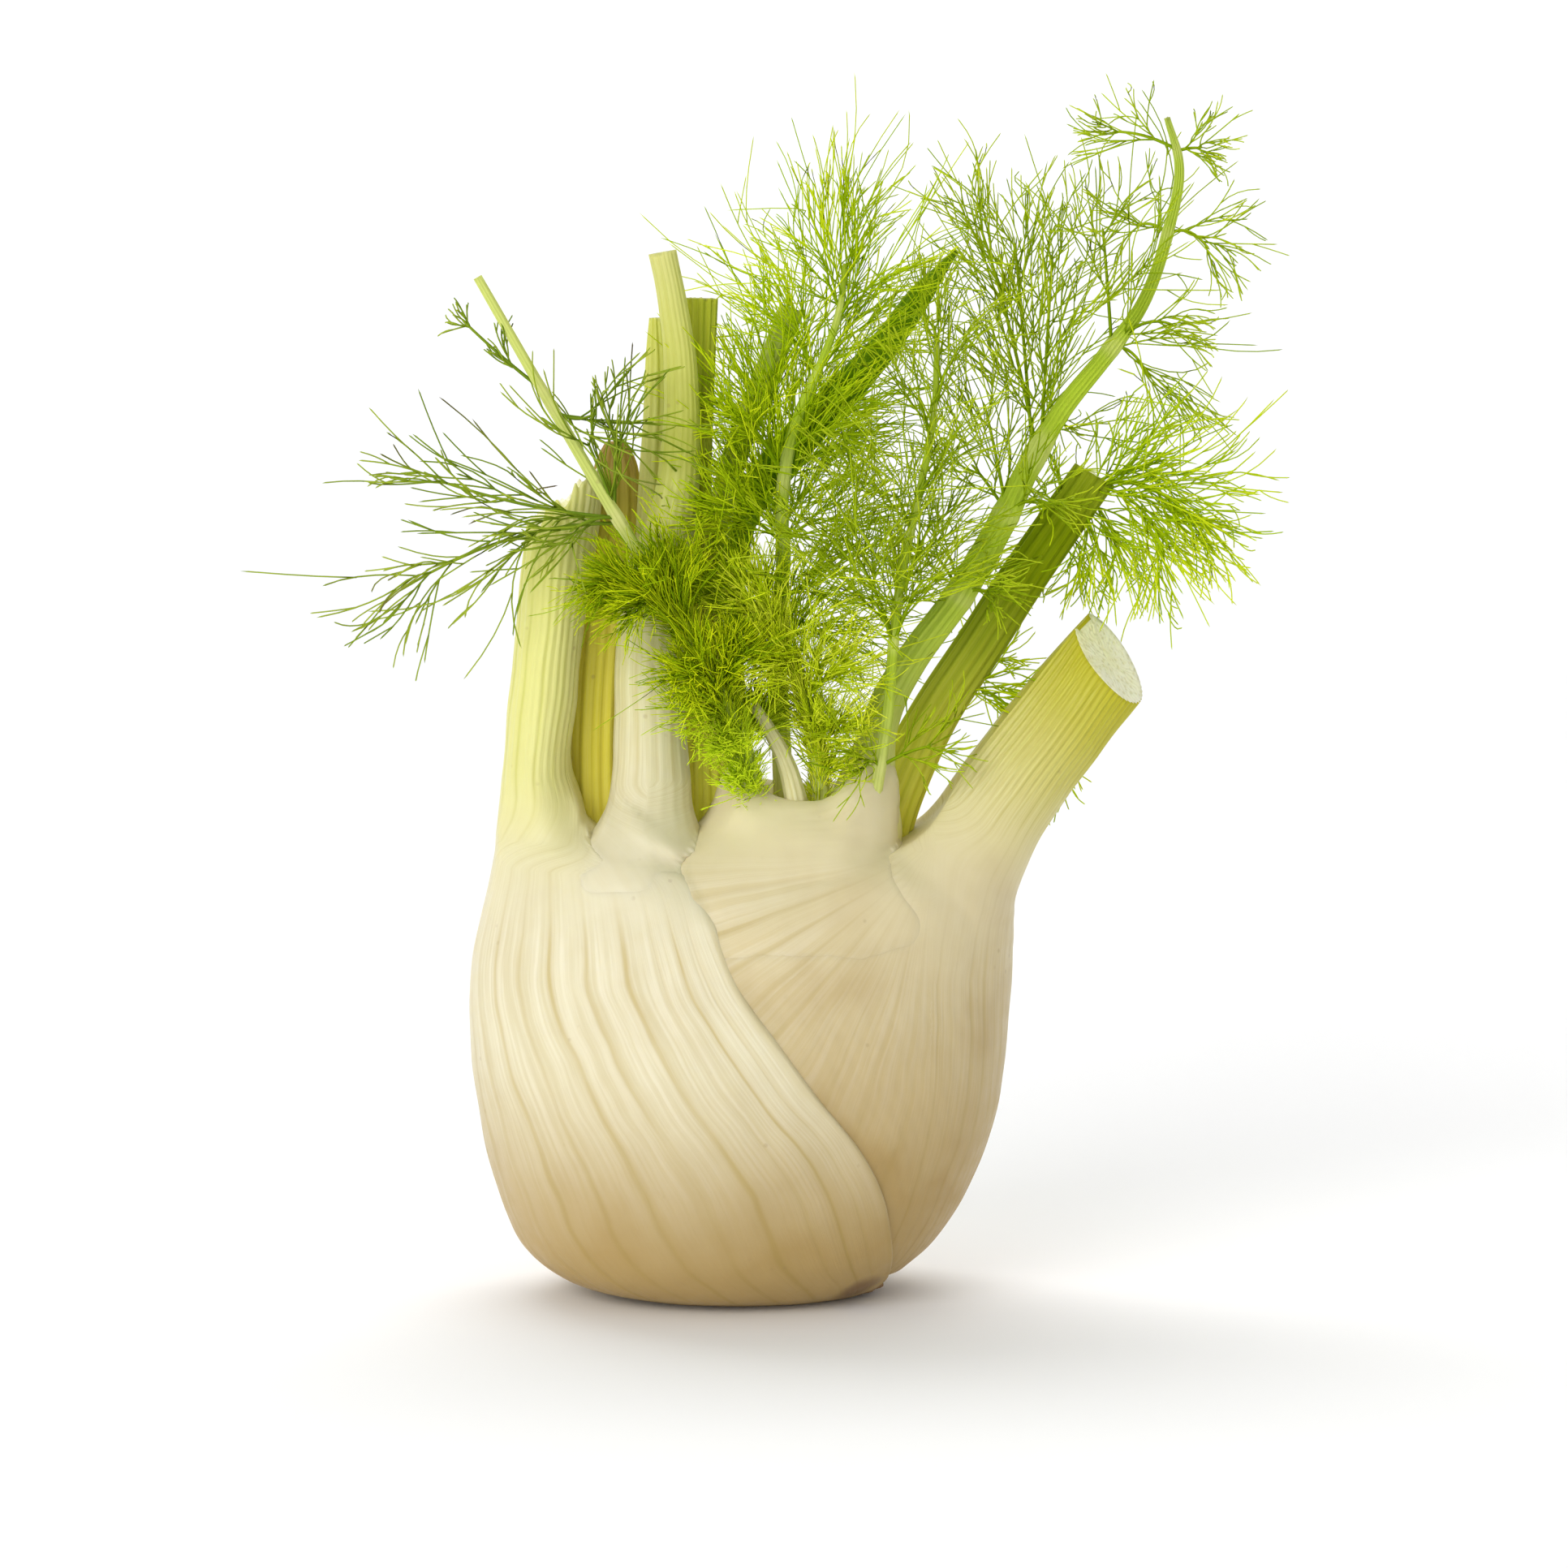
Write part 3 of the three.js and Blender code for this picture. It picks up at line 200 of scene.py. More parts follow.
class Loft:
    """A closed leaf or stalk. Its rings are given at the stations, and every ring point runs on a smooth
    cubic through its places there. greens are the share of green at each station."""

    LEAST_STEP = 0.5

    def __init__(self, rings, lines, row_step, greens, relief=None, shares=None, relaxed=None):
        step = np.linalg.norm(np.diff(rings, axis=0), axis=2).mean(1)
        knots = np.append(0, np.cumsum(np.maximum(step, self.LEAST_STEP)))
        self.length = knots[-1]
        where = np.linspace(0, self.length, int(self.length / row_step) + 2)
        self.grid = through(knots, rings, where)
        self.along = where / self.length
        self.green = np.interp(where, knots, greens)[:, None] * np.ones(self.grid.shape[1])
        share = np.interp(where, knots, np.ones(len(knots)) if shares is None else shares)
        self.across = lines[None] * share[:, None]
        self.strength = np.ones(self.across.shape)
        if relaxed is not None:
            self.relax(*relaxed)
        if relief is not None:
            self.grid = relief(self.grid)

    def relax(self, low, high, times):
        """Evens out the surface between two heights by moving points towards their neighbours' middle."""
        share = 0.6 * band(self.grid[..., 2:], low, low + 6, high - 6, high)
        for _ in range(times):
            around = (np.roll(self.grid, 1, 1) + np.roll(self.grid, -1, 1)) / 4
            around[1:-1] += (self.grid[2:] + self.grid[:-2]) / 4
            self.grid[1:-1] += share[1:-1] * (around - self.grid)[1:-1]

    def build(self, name, materials, slot, nodes, dish, grain):
        """The piece itself, with both ends closed. The far end has the second finish."""
        grid = self.grid
        rows, count = grid.shape[:2]
        ids = np.arange(rows * count).reshape(rows, count)
        near, near_faces = end_cap(grid[0], grid[1], ids[0], ids.size, NEAR_DISH * dish, 0.0)
        far, far_faces = end_cap(grid[-1], grid[-2], ids[-1], ids.size + len(near), dish, grain)
        faces = np.concatenate([strips(ids), near_faces[:, [1, 0, 2]], far_faces])
        end = np.repeat([0, -1], len(near))
        plain = np.zeros(len(end))
        along = np.append(np.repeat(self.along, count), self.along[end])
        marks = {
            "green": np.append(self.green, self.green[end, 0]),
            "strength": np.append(self.strength, plain),
        }
        return mesh_piece(
            name, np.concatenate([grid.reshape(-1, 3), near, far]), faces,
            np.stack([np.append(self.across, plain), along], 1), marks, materials, nodes,
            np.arange(len(faces)) >= len(faces) - len(far_faces),
        )


class Front:
    """How far forward a form comes at each place of the front view, on an even grid of cells."""

    STEP = 0.6
    LEFT, BOTTOM = -62.0, 50.0
    COLUMNS, ROWS = 230, 110
    NOTHING = -99.0

    def __init__(self, grid):
        fine = doubled(doubled(grid)).reshape(-1, 3)
        column = np.rint((fine[:, 0] - self.LEFT) / self.STEP).astype(int)
        row = np.rint((fine[:, 2] - self.BOTTOM) / self.STEP).astype(int)
        kept = (column >= 0) & (column < self.COLUMNS) & (row >= 0) & (row < self.ROWS)
        depth = np.full((self.COLUMNS, self.ROWS), -np.inf)
        np.maximum.at(depth, (column[kept], row[kept]), -fine[kept, 1])
        self.seen = np.isfinite(depth).astype(float)
        self.depth = np.where(self.seen > 0, depth, 0.0)
        for _ in range(2):
            self.spread()

    def spread(self):
        """Evens out the depth over each cell and its neighbours, and closes cells that none met."""
        total, count = np.zeros_like(self.depth), np.zeros_like(self.depth)
        for i in (-1, 0, 1):
            for j in (-1, 0, 1):
                total += np.roll(self.depth * self.seen, (i, j), (0, 1))
                count += np.roll(self.seen, (i, j), (0, 1))
        self.depth = np.where(count > 0, total / np.maximum(count, 1), 0.0)
        self.seen = ((self.seen > 0) | (count > 5)).astype(float)

    def at(self, x, z):
        """The depth at places, mixed from the four cells around, and far back where there is none."""
        i = np.clip((x - self.LEFT) / self.STEP, 0, self.COLUMNS - 1.001)
        j = np.clip((z - self.BOTTOM) / self.STEP, 0, self.ROWS - 1.001)
        low_i, low_j = i.astype(int), j.astype(int)
        total, weight = np.zeros(x.shape), np.zeros(x.shape)
        for di in (0, 1):
            for dj in (0, 1):
                share = np.abs(1 - di - (i - low_i)) * np.abs(1 - dj - (j - low_j))
                share = share * self.seen[low_i + di, low_j + dj]
                total += share * self.depth[low_i + di, low_j + dj]
                weight += share
        return np.where(weight > 0.6, total / np.maximum(weight, 1e-6), self.NOTHING)


def doubled(grid):
    """The grid with a point put halfway between every two."""
    rows = np.empty((grid.shape[0] * 2 - 1,) + grid.shape[1:])
    rows[::2], rows[1::2] = grid, (grid[1:] + grid[:-1]) / 2
    both = np.empty((rows.shape[0], rows.shape[1] * 2, 3))
    both[:, ::2], both[:, 1::2] = rows, (rows + np.roll(rows, -1, axis=1)) / 2
    return both


FRONT_DEPTH = 1.6  # a point no further than this behind its own form's front is part of it


def soften(lofts, pairs):
    """Rounds the inner corners where two forms meet. Each front is raised by h^2 k / 4, where h falls
    from 1 where the two are level to 0 where they are k apart, so that they meet with one slope."""
    fronts = {name: Front(lofts[name].grid) for pair in pairs for name in pair[:2]}
    raised = {name: np.zeros(lofts[name].grid.shape[:2]) for name in fronts}
    for first, second, reach in pairs:
        for name, other in ((first, second), (second, first)):
            x, y, z = np.moveaxis(lofts[name].grid, -1, 0)
            at_front = -y > fronts[name].at(x, z) - FRONT_DEPTH
            h = np.clip(1 - np.abs(-y - fronts[other].at(x, z)) / reach, 0, 1)
            raised[name] = np.maximum(raised[name], np.where(at_front, h**2 * reach / 4, 0))
    for name, by in raised.items():
        lofts[name].grid[..., 1] -= by


def even_out(lofts, names, window, times):
    """Lets several forms run on as one skin: the front that they show together is evened out, and each
    form's points near it move as far as it did, in the window's share."""
    shared = Front(lofts[names[0]].grid)
    for name in names[1:]:
        other = Front(lofts[name].grid)
        nearer = (other.seen > 0) & ((other.depth > shared.depth) | (shared.seen == 0))
        shared.depth = np.where(nearer, other.depth, shared.depth)
        shared.seen = np.maximum(shared.seen, other.seen)
    evened = copy.copy(shared)
    for _ in range(times):
        evened.spread()
    for name in names:
        x, y, z = np.moveaxis(lofts[name].grid, -1, 0)
        level = shared.at(x, z)
        share = window(x, z) * smoothstep(-3.0, -1.0, -y - level) * (level > 0)
        lofts[name].grid[..., 1] -= share * (evened.at(x, z) - level)


# Sections

def stations(names, rows, **common):
    """Sections from rows of values in the order of the names. A row may stop short of the last ones."""
    return [dict(zip(names.split(), row), **common) for row in rows]


def leans(sections):
    """The lean of each section: as given, or square to the run from the one before to the next."""
    found = []
    for i, s in enumerate(sections):
        a, b = sections[max(0, i - 1)], sections[min(len(sections) - 1, i + 1)]
        square = math.atan2(b["x"] - a["x"], b["z"] - a["z"])
        found.append(math.radians(s["lean"]) if "lean" in s else square)
    return found


def section(s, lean, angle, proud):
    """Points of a section: the sine of the angle across and its cosine towards the front, each raised to
    the section's power, where 1 gives an ellipse and less gives fuller corners. The sides are lifted,
    and a slant sets the front back along the stalk."""
    power = s.get("power", 1)
    sine, cosine = np.sin(angle), np.cos(angle)
    across = (s["a"] + proud) * np.sign(sine) * np.abs(sine) ** power
    towards = (s["b"] + proud) * np.sign(cosine) * np.abs(cosine) ** power
    lift = s.get("lift", 0) * sine**2
    back = s.get("slant", 0) * cosine
    return np.stack([
        s["x"] + across * math.cos(lean) - back * math.sin(lean),
        s.get("y", 0) - towards,
        s["z"] - across * math.sin(lean) + lift - back * math.cos(lean),
    ], -1)


def ribs(lines, count):
    """Ridges across a stalk: 0.5 on a rib and -0.5 between two, by the cosine of the line."""
    return 0.5 * np.cos(2 * math.pi * lines * count)


def stalk_rings(rows, sides, rib_count, rib_height, rib_shares=None):
    """Whole sections with ribs. rib_shares scale the ribs at each section."""
    sections = stations("x y z a b lean lift power", rows)
    lines = np.arange(sides) / sides
    shares = rib_shares or [1] * len(sections)
    rings = [
        section(s, t, lines * 2 * math.pi, rib_height * share * ribs(lines, rib_count))
        for s, t, share in zip(sections, leans(sections), shares)
    ]
    return np.array(rings), lines


def bulb_section(row, front, back, soft=1.0):
    """The section of the whole outline at one height, up to the margins of a wrapping leaf."""
    z, left, right, depth = row
    return dict(
        x=(left + right) / 2, z=z, a=(right - left) / 2, b=depth, lean=0,
        front=front, back=back, step=1, soft=soft,
    )


def wrap_rings(sections, side, arc, rib_count, rib_heights):
    """A leaf round one side of the bulb: an arc of each section from margin to margin, closed inside by
    a straight run. Each margin rolls in like a quarter circle, and the front one also sinks, by a share
    of its feather that grows with the square of the way to the margin."""
    share = np.linspace(0, 1, arc)
    back = np.linspace(0, 1, CHORD_POINTS + 2)[1:-1]
    rings = []
    for s, lean, rib in zip(sections, leans(sections), rib_heights):
        low, high = (-180 - s["back"], s["front"]) if side < 0 else (-s["front"], 180 + s["back"])
        turns = s.get("turns", low + np.array(TURN_SHARES[1:3]) * (high - low))
        angle = np.radians(np.interp(share, TURN_SHARES, (low, *turns, high)))
        reach = np.radians(high - low) * (s["a"] + s["b"]) / 2
        edge = np.minimum(share, 1 - share) * reach
        roll = s.get("soft", 1.0)
        sunk = np.where(edge < roll, roll - np.sqrt(np.maximum(roll**2 - (roll - edge) ** 2, 0)), 0)
        from_front = (1 - share if side < 0 else share) * reach
        depth, width = s.get("feather", (0, 1))
        sunk = sunk + depth * np.clip(1 - from_front / width, 0, 1) ** 2
        proud = rib * ribs(share, rib_count) - side * SHEATH_STEP * s.get("step", 0) - sunk
        outer = section(s, lean, angle, proud)
        inner = outer[-1] + (outer[0] - outer[-1]) * back[:, None]
        rings.append(np.concatenate([outer, inner]))
    return np.array(rings), np.concatenate([share, 1 - back])


# Node graphs

class Graph:
    """A short way to add nodes and link them. A colour is given as its three shares."""

    def __init__(self, tree):
        self.tree = tree

    def add(self, kind, inputs=None, **settings):
        node = self.tree.nodes.new(kind)
        for key, value in settings.items():
            setattr(node, key, value)
        for key, value in (inputs or {}).items():
            self.set(node.inputs[key], value)
        return node

    def set(self, socket, value):
        if isinstance(value, bpy.types.NodeSocket):
            self.tree.links.new(value, socket)
        else:
            socket.default_value = (*value, 1) if socket.type == "RGBA" else value

    def math(self, operation, a, b=0.0, clamp=False):
        return self.add("ShaderNodeMath", {0: a, 1: b}, operation=operation, use_clamp=clamp).outputs[0]

    def times(self, value, *others):
        for other in others:
            value = self.math("MULTIPLY", value, other)
        return value

    def rest(self, share):
        return self.math("SUBTRACT", 1.0, share)

    def mix(self, share, a, b, blend="MIX"):
        node = self.add("ShaderNodeMix", data_type="RGBA", blend_type=blend)
        for index, value in ((0, share), (6, a), (7, b)):
            self.set(node.inputs[index], value)
        return node.outputs[2]

    def steps(self, share, low, high, to_low=0.0, to_high=1.0):
        values = dict(enumerate((share, low, high, to_low, to_high)))
        return self.add("ShaderNodeMapRange", values, interpolation_type="SMOOTHSTEP").outputs[0]

    def noise(self, vector, scale, detail=2.0, rough=0.5):
        values = {"Vector": vector, "Scale": scale, "Detail": detail, "Roughness": rough}
        return self.add("ShaderNodeTexNoise", values).outputs["Fac"]

    def cells(self, scale, randomness):
        """The distance to the nearest of many scattered points."""
        values = {"Vector": self.place(), "Scale": scale, "Randomness": randomness}
        return self.add("ShaderNodeTexVoronoi", values).outputs["Distance"]

    def place(self):
        return self.add("ShaderNodeTexCoord").outputs["Object"]

    def height(self):
        return self.add("ShaderNodeSeparateXYZ", {0: self.place()}).outputs[2]

    def mark(self, name):
        """A number kept on the piece's points."""
        return self.add("ShaderNodeAttribute", attribute_name=name).outputs["Fac"]


def new_group(name, inputs, outputs):
    """A shader node group of plain numbers: each input with its first value, and the outputs."""
    tree = bpy.data.node_groups.new(name, "ShaderNodeTree")
    for label, value in inputs.items():
        socket = tree.interface.new_socket(label, in_out="INPUT", socket_type="NodeSocketFloat")
        socket.default_value = value
    for label in outputs:
        tree.interface.new_socket(label, in_out="OUTPUT", socket_type="NodeSocketFloat")
    graph = Graph(tree)
    return tree, graph, graph.add("NodeGroupInput").outputs, graph.add("NodeGroupOutput").inputs


def lengthwise_lines_group():
    """Veins that follow the leaf: soft bands at equal shares of its width that waver a little, each line
    with its own strength and a faint wide halo, and fine lines between them. Gives a mask for the veins,
    one for the fine lines and a height."""
    tree, g, given, out = new_group(
        "lengthwise_lines", {"Count": 20.0, "Width": 0.12, "Waver": 0.15}, ("Vein", "Fine", "Height"))
    uv = g.add("ShaderNodeUVMap", uv_map="leaf").outputs[0]
    across, along, _ = g.add("ShaderNodeSeparateXYZ", {0: uv}).outputs
    waver = g.times(g.math("SUBTRACT", g.noise(g.place(), 45.0), 0.5), given["Waver"])
    line = g.math("ADD", g.times(across, given["Count"]), waver)
    own = g.add("ShaderNodeTexWhiteNoise", {"W": g.math("FLOOR", line)}, noise_dimensions="1D")
    from_line = g.math("ABSOLUTE", g.math("SUBTRACT", g.math("FRACT", line), 0.5))
    core = g.rest(g.steps(from_line, 0.0, given["Width"]))
    halo = g.rest(g.steps(from_line, 0.0, g.times(given["Width"], 2.6)))
    soft_line = g.math("ADD", g.times(core, 0.7), g.times(halo, 0.35), clamp=True)
    weight = g.steps(own.outputs["Value"], 0.0, 1.0, 0.35, 1.0)
    patchy = g.steps(g.noise(g.place(), 30.0), 0.3, 0.65, 0.45, 1.0)
    fine_at = g.add("ShaderNodeCombineXYZ", {0: g.times(line, 6.0), 1: g.times(along, 4.0)}).outputs[0]
    fine = g.steps(g.noise(fine_at, 1.0, 3.0, 0.6), 0.35, 0.7)
    g.set(out["Vein"], g.times(soft_line, weight, patchy))
    g.set(out["Fine"], fine)
    g.set(out["Height"], g.math("ADD", g.times(core, -0.5), g.times(fine, 0.5)))
    return tree


def blotches_group():
    """Slow changes of tone and small dull specks, by place."""
    tree, g, given, out = new_group("blotches", {"Size": 40.0}, ("Slow", "Quick", "Speck"))
    g.set(out["Slow"], g.noise(g.place(), given["Size"], 3.0, 0.55))
    g.set(out["Quick"], g.noise(g.place(), g.times(given["Size"], 7.0), 3.0, 0.6))
    some = g.steps(g.noise(g.place(), 90.0, 1.0), 0.56, 0.68)
    g.set(out["Speck"], g.times(g.rest(g.steps(g.cells(260.0, 1.0), 0.05, 0.16)), some))
    return tree


GROUPS = {}


def placed(graph, name, **values):
    """The outputs of a shared group, placed in a material with its own values."""
    node = graph.add("ShaderNodeGroup", node_tree=GROUPS[name])
    for key, value in values.items():
        node.inputs[key.capitalize()].default_value = value
    return node.outputs


FLESH_DEPTH = 0.003  # metres that light goes into the flesh, and its shares of red, green and blue
FLESH_RADIUS = (1.0, 0.85, 0.45)


def new_material(name, roughness=0.42, flesh=0.0, shine=0.4):
    """A material, its graph, and its one shader's sockets with the flat numbers on them."""
    material = bpy.data.materials.new(name)
    material.use_nodes = True
    skin = material.node_tree.nodes["Principled BSDF"].inputs
    skin["Roughness"].default_value = roughness
    skin["Subsurface Weight"].default_value = flesh
    skin["Subsurface Scale"].default_value = FLESH_DEPTH
    skin["Subsurface Radius"].default_value = FLESH_RADIUS
    skin["Specular IOR Level"].default_value = shine
    return material, Graph(material.node_tree), skin


def finish_skin(g, skin, color, height, strength, depth):
    """Gives the shader its colour and its low relief, in metres."""
    g.set(skin["Base Color"], color)
    bump = g.add("ShaderNodeBump", {"Height": height, "Strength": strength, "Distance": depth})
    g.set(skin["Normal"], bump.outputs[0])


CREAM = (0.79, 0.735, 0.52)
PALE_CREAM = (0.87, 0.79, 0.52)
CREAM_VEIN = (0.56, 0.44, 0.16)
PALE = (0.95, 0.90, 0.72)
PALE_GREEN = (0.62, 0.64, 0.05)
WARM = (0.47, 0.33, 0.13)
# Veins turn to this brown towards the bottom: partly their own tan, partly painted shade.
LOW_VEIN_TAN_AND_SHADE = (0.36, 0.24, 0.06)
SPECK_BROWN = (0.36, 0.25, 0.11)
SCAR_BROWN = (0.20, 0.11, 0.04)
DULL = (0.86, 0.80, 0.66)
TORN_CORNER = (0.0235, -0.016, 0.0015)  # metres: where the left leaf's lower corner is torn and brown
SCAR_EDGE = (0.0085, 0.0045)  # metres from it over which the brown comes in
ROOT_SHADE_AND_TAN = 0.004  # metres: the skin is tannest and darkest below this height, partly its own tan at the root and partly painted shade on the bulb's lower part


def leaf_skin(name, low, high, vein_low, vein_high, count, width=0.13, waver=0.5, fine=0.35, vein=0.75,
              warm=(0.44, 0.30, 0.12), warm_share=0.35, tan=0.06, bump=0.2, flesh=0.2, roughness=0.42,
              shine=0.3, scar=None):
    """Leaf base or stalk skin: one colour low down that turns into another with the green mark, veins along
    it, fine lines between them, warmer and darker towards the root (partly its own tan, partly painted shade
    on the lower part), with warmer blotches and a few specks."""
    material, g, skin = new_material(name, roughness, flesh, shine)
    green, strength = g.mark("green"), g.mark("strength")
    lines = placed(g, "lengthwise_lines", count=count, width=width, waver=waver)
    tone = placed(g, "blotches", size=34.0)
    vein_color = g.mix(green, vein_low, vein_high)
    color = g.mix(g.times(g.rest(lines["Fine"]), strength, fine * 0.5), g.mix(green, low, high), vein_color)
    color = g.mix(g.times(lines["Fine"], strength, fine), color, g.mix(green, PALE, PALE_GREEN))
    blotch = g.times(g.steps(tone["Slow"], 0.42, 0.72), warm_share)
    # Painted shade and tan: the warm colour comes in towards the bottom, below the shade-and-tan reach. This
    # is partly the root's own tan and partly shade painted on the underside. The slow blotches are the
    # skin's own warmer patches.
    root = g.math("ADD", g.steps(g.height(), tan, ROOT_SHADE_AND_TAN), blotch)
    color = g.mix(g.times(g.rest(green), root), color, warm)
    # The veins darken towards the bottom in the same way, partly their own tan and partly painted shade.
    vein_color = g.mix(g.times(root, 0.8), vein_color, LOW_VEIN_TAN_AND_SHADE)
    color = g.mix(g.times(lines["Vein"], strength, vein), color, vein_color)
    color = g.mix(g.times(tone["Speck"], 0.3), color, SPECK_BROWN)
    if scar:
        away = g.add("ShaderNodeVectorMath", {0: g.place(), 1: scar}, operation="DISTANCE").outputs["Value"]
        ragged = g.math("ADD", away, g.times(tone["Quick"], 0.004))
        color = g.mix(g.steps(ragged, *SCAR_EDGE, 0.0, 0.9), color, SCAR_BROWN)
    color = g.mix(g.times(tone["Quick"], 0.3), color, DULL, "MULTIPLY")
    g.set(skin["Roughness"], g.steps(tone["Quick"], 0.2, 0.8, roughness - 0.08, roughness + 0.12))
    relief = g.math("ADD", g.times(lines["Height"], strength), g.times(tone["Quick"], 0.6))
    finish_skin(g, skin, color, relief, bump, 0.0004)
    return material


def cut_face(name, rim, pith, dark):
    """A cut end: pale pith with fine pores, a wetter darker edge, and strands seen end on."""
    material, g, skin = new_material(name, 0.55, 0.25)
    tone = placed(g, "blotches", size=60.0)
    pore = g.steps(g.cells(900.0, 0.9), 0.1, 0.5)
    color = g.mix(g.steps(tone["Slow"], 0.4, 0.65), pith, rim)
    finish_skin(g, skin, g.mix(g.times(g.rest(pore), 0.5), color, dark), pore, 0.5, 0.0003)
    return material


DRY_SHARE = 0.12  # of a leaf's threads have dry ends
BASE_HEIGHTS = (0.117, 0.1)  # metres over which a young plume turns pale towards its base


def frond_green(name, deep, mid, tip, dry=None, base=None):
    """Leaf threads: deeper green at the root, brighter to the tip, each thread a little its own tone."""
    material, g, skin = new_material(name, 0.6, 0.0, 0.04)
    along, tone = g.mark("along"), g.mark("tone")
    color = g.mix(g.steps(along, 0.0, 0.55), deep, mid)
    color = g.mix(g.times(g.steps(along, 0.3, 1.0), g.steps(tone, 0.15, 0.95)), color, tip)
    color = g.mix(g.times(g.steps(tone, 0.62, 0.9), 0.35), color, mid)
    color = g.mix(g.times(g.steps(g.rest(tone), 0.6, 0.95), 0.55), color, deep)
    if dry:
        color = g.mix(g.times(g.steps(tone, 1.0 - DRY_SHARE, 1.0), g.steps(along, 0.5, 1.0)), color, dry)
    color = g.mix(g.times(g.steps(g.noise(g.place(), 70.0), 0.35, 0.7), 0.45), color, deep)
    if base:
        color = g.mix(g.steps(g.height(), *BASE_HEIGHTS, 0.0, 0.9), color, base)
    finish_skin(g, skin, color, g.noise(g.place(), 1500.0, 1.0), 0.2, 0.0002)
    return material


def root_scar(name):
    """The trimmed root plate: dry brown skin with darker cracks and paler torn fibres."""
    material, g, skin = new_material(name, 0.8)
    tone = placed(g, "blotches", size=90.0)
    color = g.mix(g.steps(tone["Slow"], 0.3, 0.7), (0.25, 0.13, 0.05), (0.62, 0.47, 0.27))
    color = g.mix(g.steps(tone["Quick"], 0.5, 0.75), color, (0.11, 0.06, 0.03))
    finish_skin(g, skin, color, tone["Quick"], 0.8, 0.0006)
    return material


# The tucked leaves darken from higher up: painted shade over their lower sides, partly their own tan.
TUCKED = dict(fine=0.4, vein=0.6, warm=WARM, warm_share=0.3, tan=0.108, bump=0.12)
STALK = dict(waver=0.05, vein=0.7, warm_share=0.05, flesh=0.1, roughness=0.6, shine=0.04)
SKINS = {
    # low, high, vein low and vein high, veins across, and what differs from the usual
    "left_leaf_base": (CREAM, (0.86, 0.85, 0.29), CREAM_VEIN, (0.62, 0.66, 0.09), 20,
                       dict(fine=0.4, warm=WARM, warm_share=0.12, tan=0.054, scar=TORN_CORNER)),
    "right_leaf_base": (PALE_CREAM, (0.52, 0.47, 0.01), CREAM_VEIN, (0.38, 0.39, 0.01), 16, TUCKED),
    "inner_leaf_base": (PALE_CREAM, CREAM, CREAM_VEIN, CREAM_VEIN, 16, TUCKED),
    "pale_stalk_skin": (CREAM, (0.62, 0.66, 0.05), CREAM_VEIN, (0.46, 0.52, 0.03), 12,
                        dict(width=0.2, waver=0.15, fine=0.4, vein=0.4, warm=WARM, warm_share=0.1, tan=0.056,
                             bump=0.1)),
    "olive_stalk_skin": ((0.92, 0.84, 0.09), (0.36, 0.25, 0.06), (0.70, 0.62, 0.05), (0.21, 0.13, 0.04), 18,
                         dict(waver=0.05, fine=0.1, vein=0.6, warm_share=0.1, flesh=0.1, shine=0.15)),
    "green_stalk_skin": ((1.0, 0.98, 0.12), (0.24, 0.32, 0.001), (0.62, 0.66, 0.04), (0.08, 0.15, 0.001), 13,
                         {**STALK, "width": 0.2, "waver": 0.02, "fine": 0.12, "vein": 0.8}),
    "grey_stalk_skin": ((0.56, 0.62, 0.14), (0.50, 0.60, 0.10), (0.36, 0.46, 0.05), (0.32, 0.42, 0.04), 14,
                        {**STALK, "fine": 0.12, "roughness": 0.42, "shine": 0.15}),
    "dark_stalk_skin": ((0.30, 0.42, 0.03), (0.17, 0.31, 0.004), (0.18, 0.28, 0.01), (0.09, 0.20, 0.003), 14,
                        {**STALK, "fine": 0.04}),
    "stem_skin": ((0.90, 0.86, 0.42), (0.50, 0.66, 0.05), (0.60, 0.62, 0.12), (0.20, 0.32, 0.01), 10,
                  {**STALK, "fine": 0.06, "vein": 0.6, "shine": 0.05}),
}
CUTS = {
    # rim, pith and pores
    "pale_cut_face": ((0.95, 0.92, 0.52), (1.0, 0.98, 0.72), (0.76, 0.70, 0.32)),
    "green_cut_face": ((0.44, 0.48, 0.10), (0.62, 0.62, 0.28), (0.26, 0.30, 0.05)),
    "dry_cut_face": ((0.32, 0.21, 0.07), (0.45, 0.33, 0.12), (0.15, 0.09, 0.03)),
}
FRONDS = {
    # threads at the root, on the way and at the tip, then their dry ends, then the plume's base
    "frond_threads": ((0.24, 0.37, 0.004), (0.44, 0.58, 0.008), (0.66, 0.76, 0.03)),
    "bright_frond_threads": ((0.30, 0.47, 0.003), (0.60, 0.78, 0.006), (0.84, 0.90, 0.02)),
    "young_frond_threads": ((0.10, 0.22, 0.001), (0.52, 0.70, 0.004), (0.92, 0.95, 0.012), None,
                            (0.80, 1.0, 0.03)),
    "pale_frond_threads": ((0.50, 0.68, 0.005), (0.84, 0.97, 0.015), (0.98, 1.0, 0.08)),
    "dull_frond_threads": ((0.16, 0.26, 0.015), (0.32, 0.43, 0.025), (0.50, 0.58, 0.06), (0.10, 0.07, 0.03)),
}


def make_materials():
    """The shared groups first, then every finish of the object by its name."""
    GROUPS["lengthwise_lines"] = lengthwise_lines_group()
    GROUPS["blotches"] = blotches_group()
    finish = {name: leaf_skin(name, *row, **options) for name, (*row, options) in SKINS.items()}
    finish.update({name: cut_face(name, *colors) for name, colors in CUTS.items()})
    finish.update({name: frond_green(name, *colors) for name, colors in FRONDS.items()})
    finish["root_scar"] = root_scar("root_scar")
    return finish


# Leaf bases

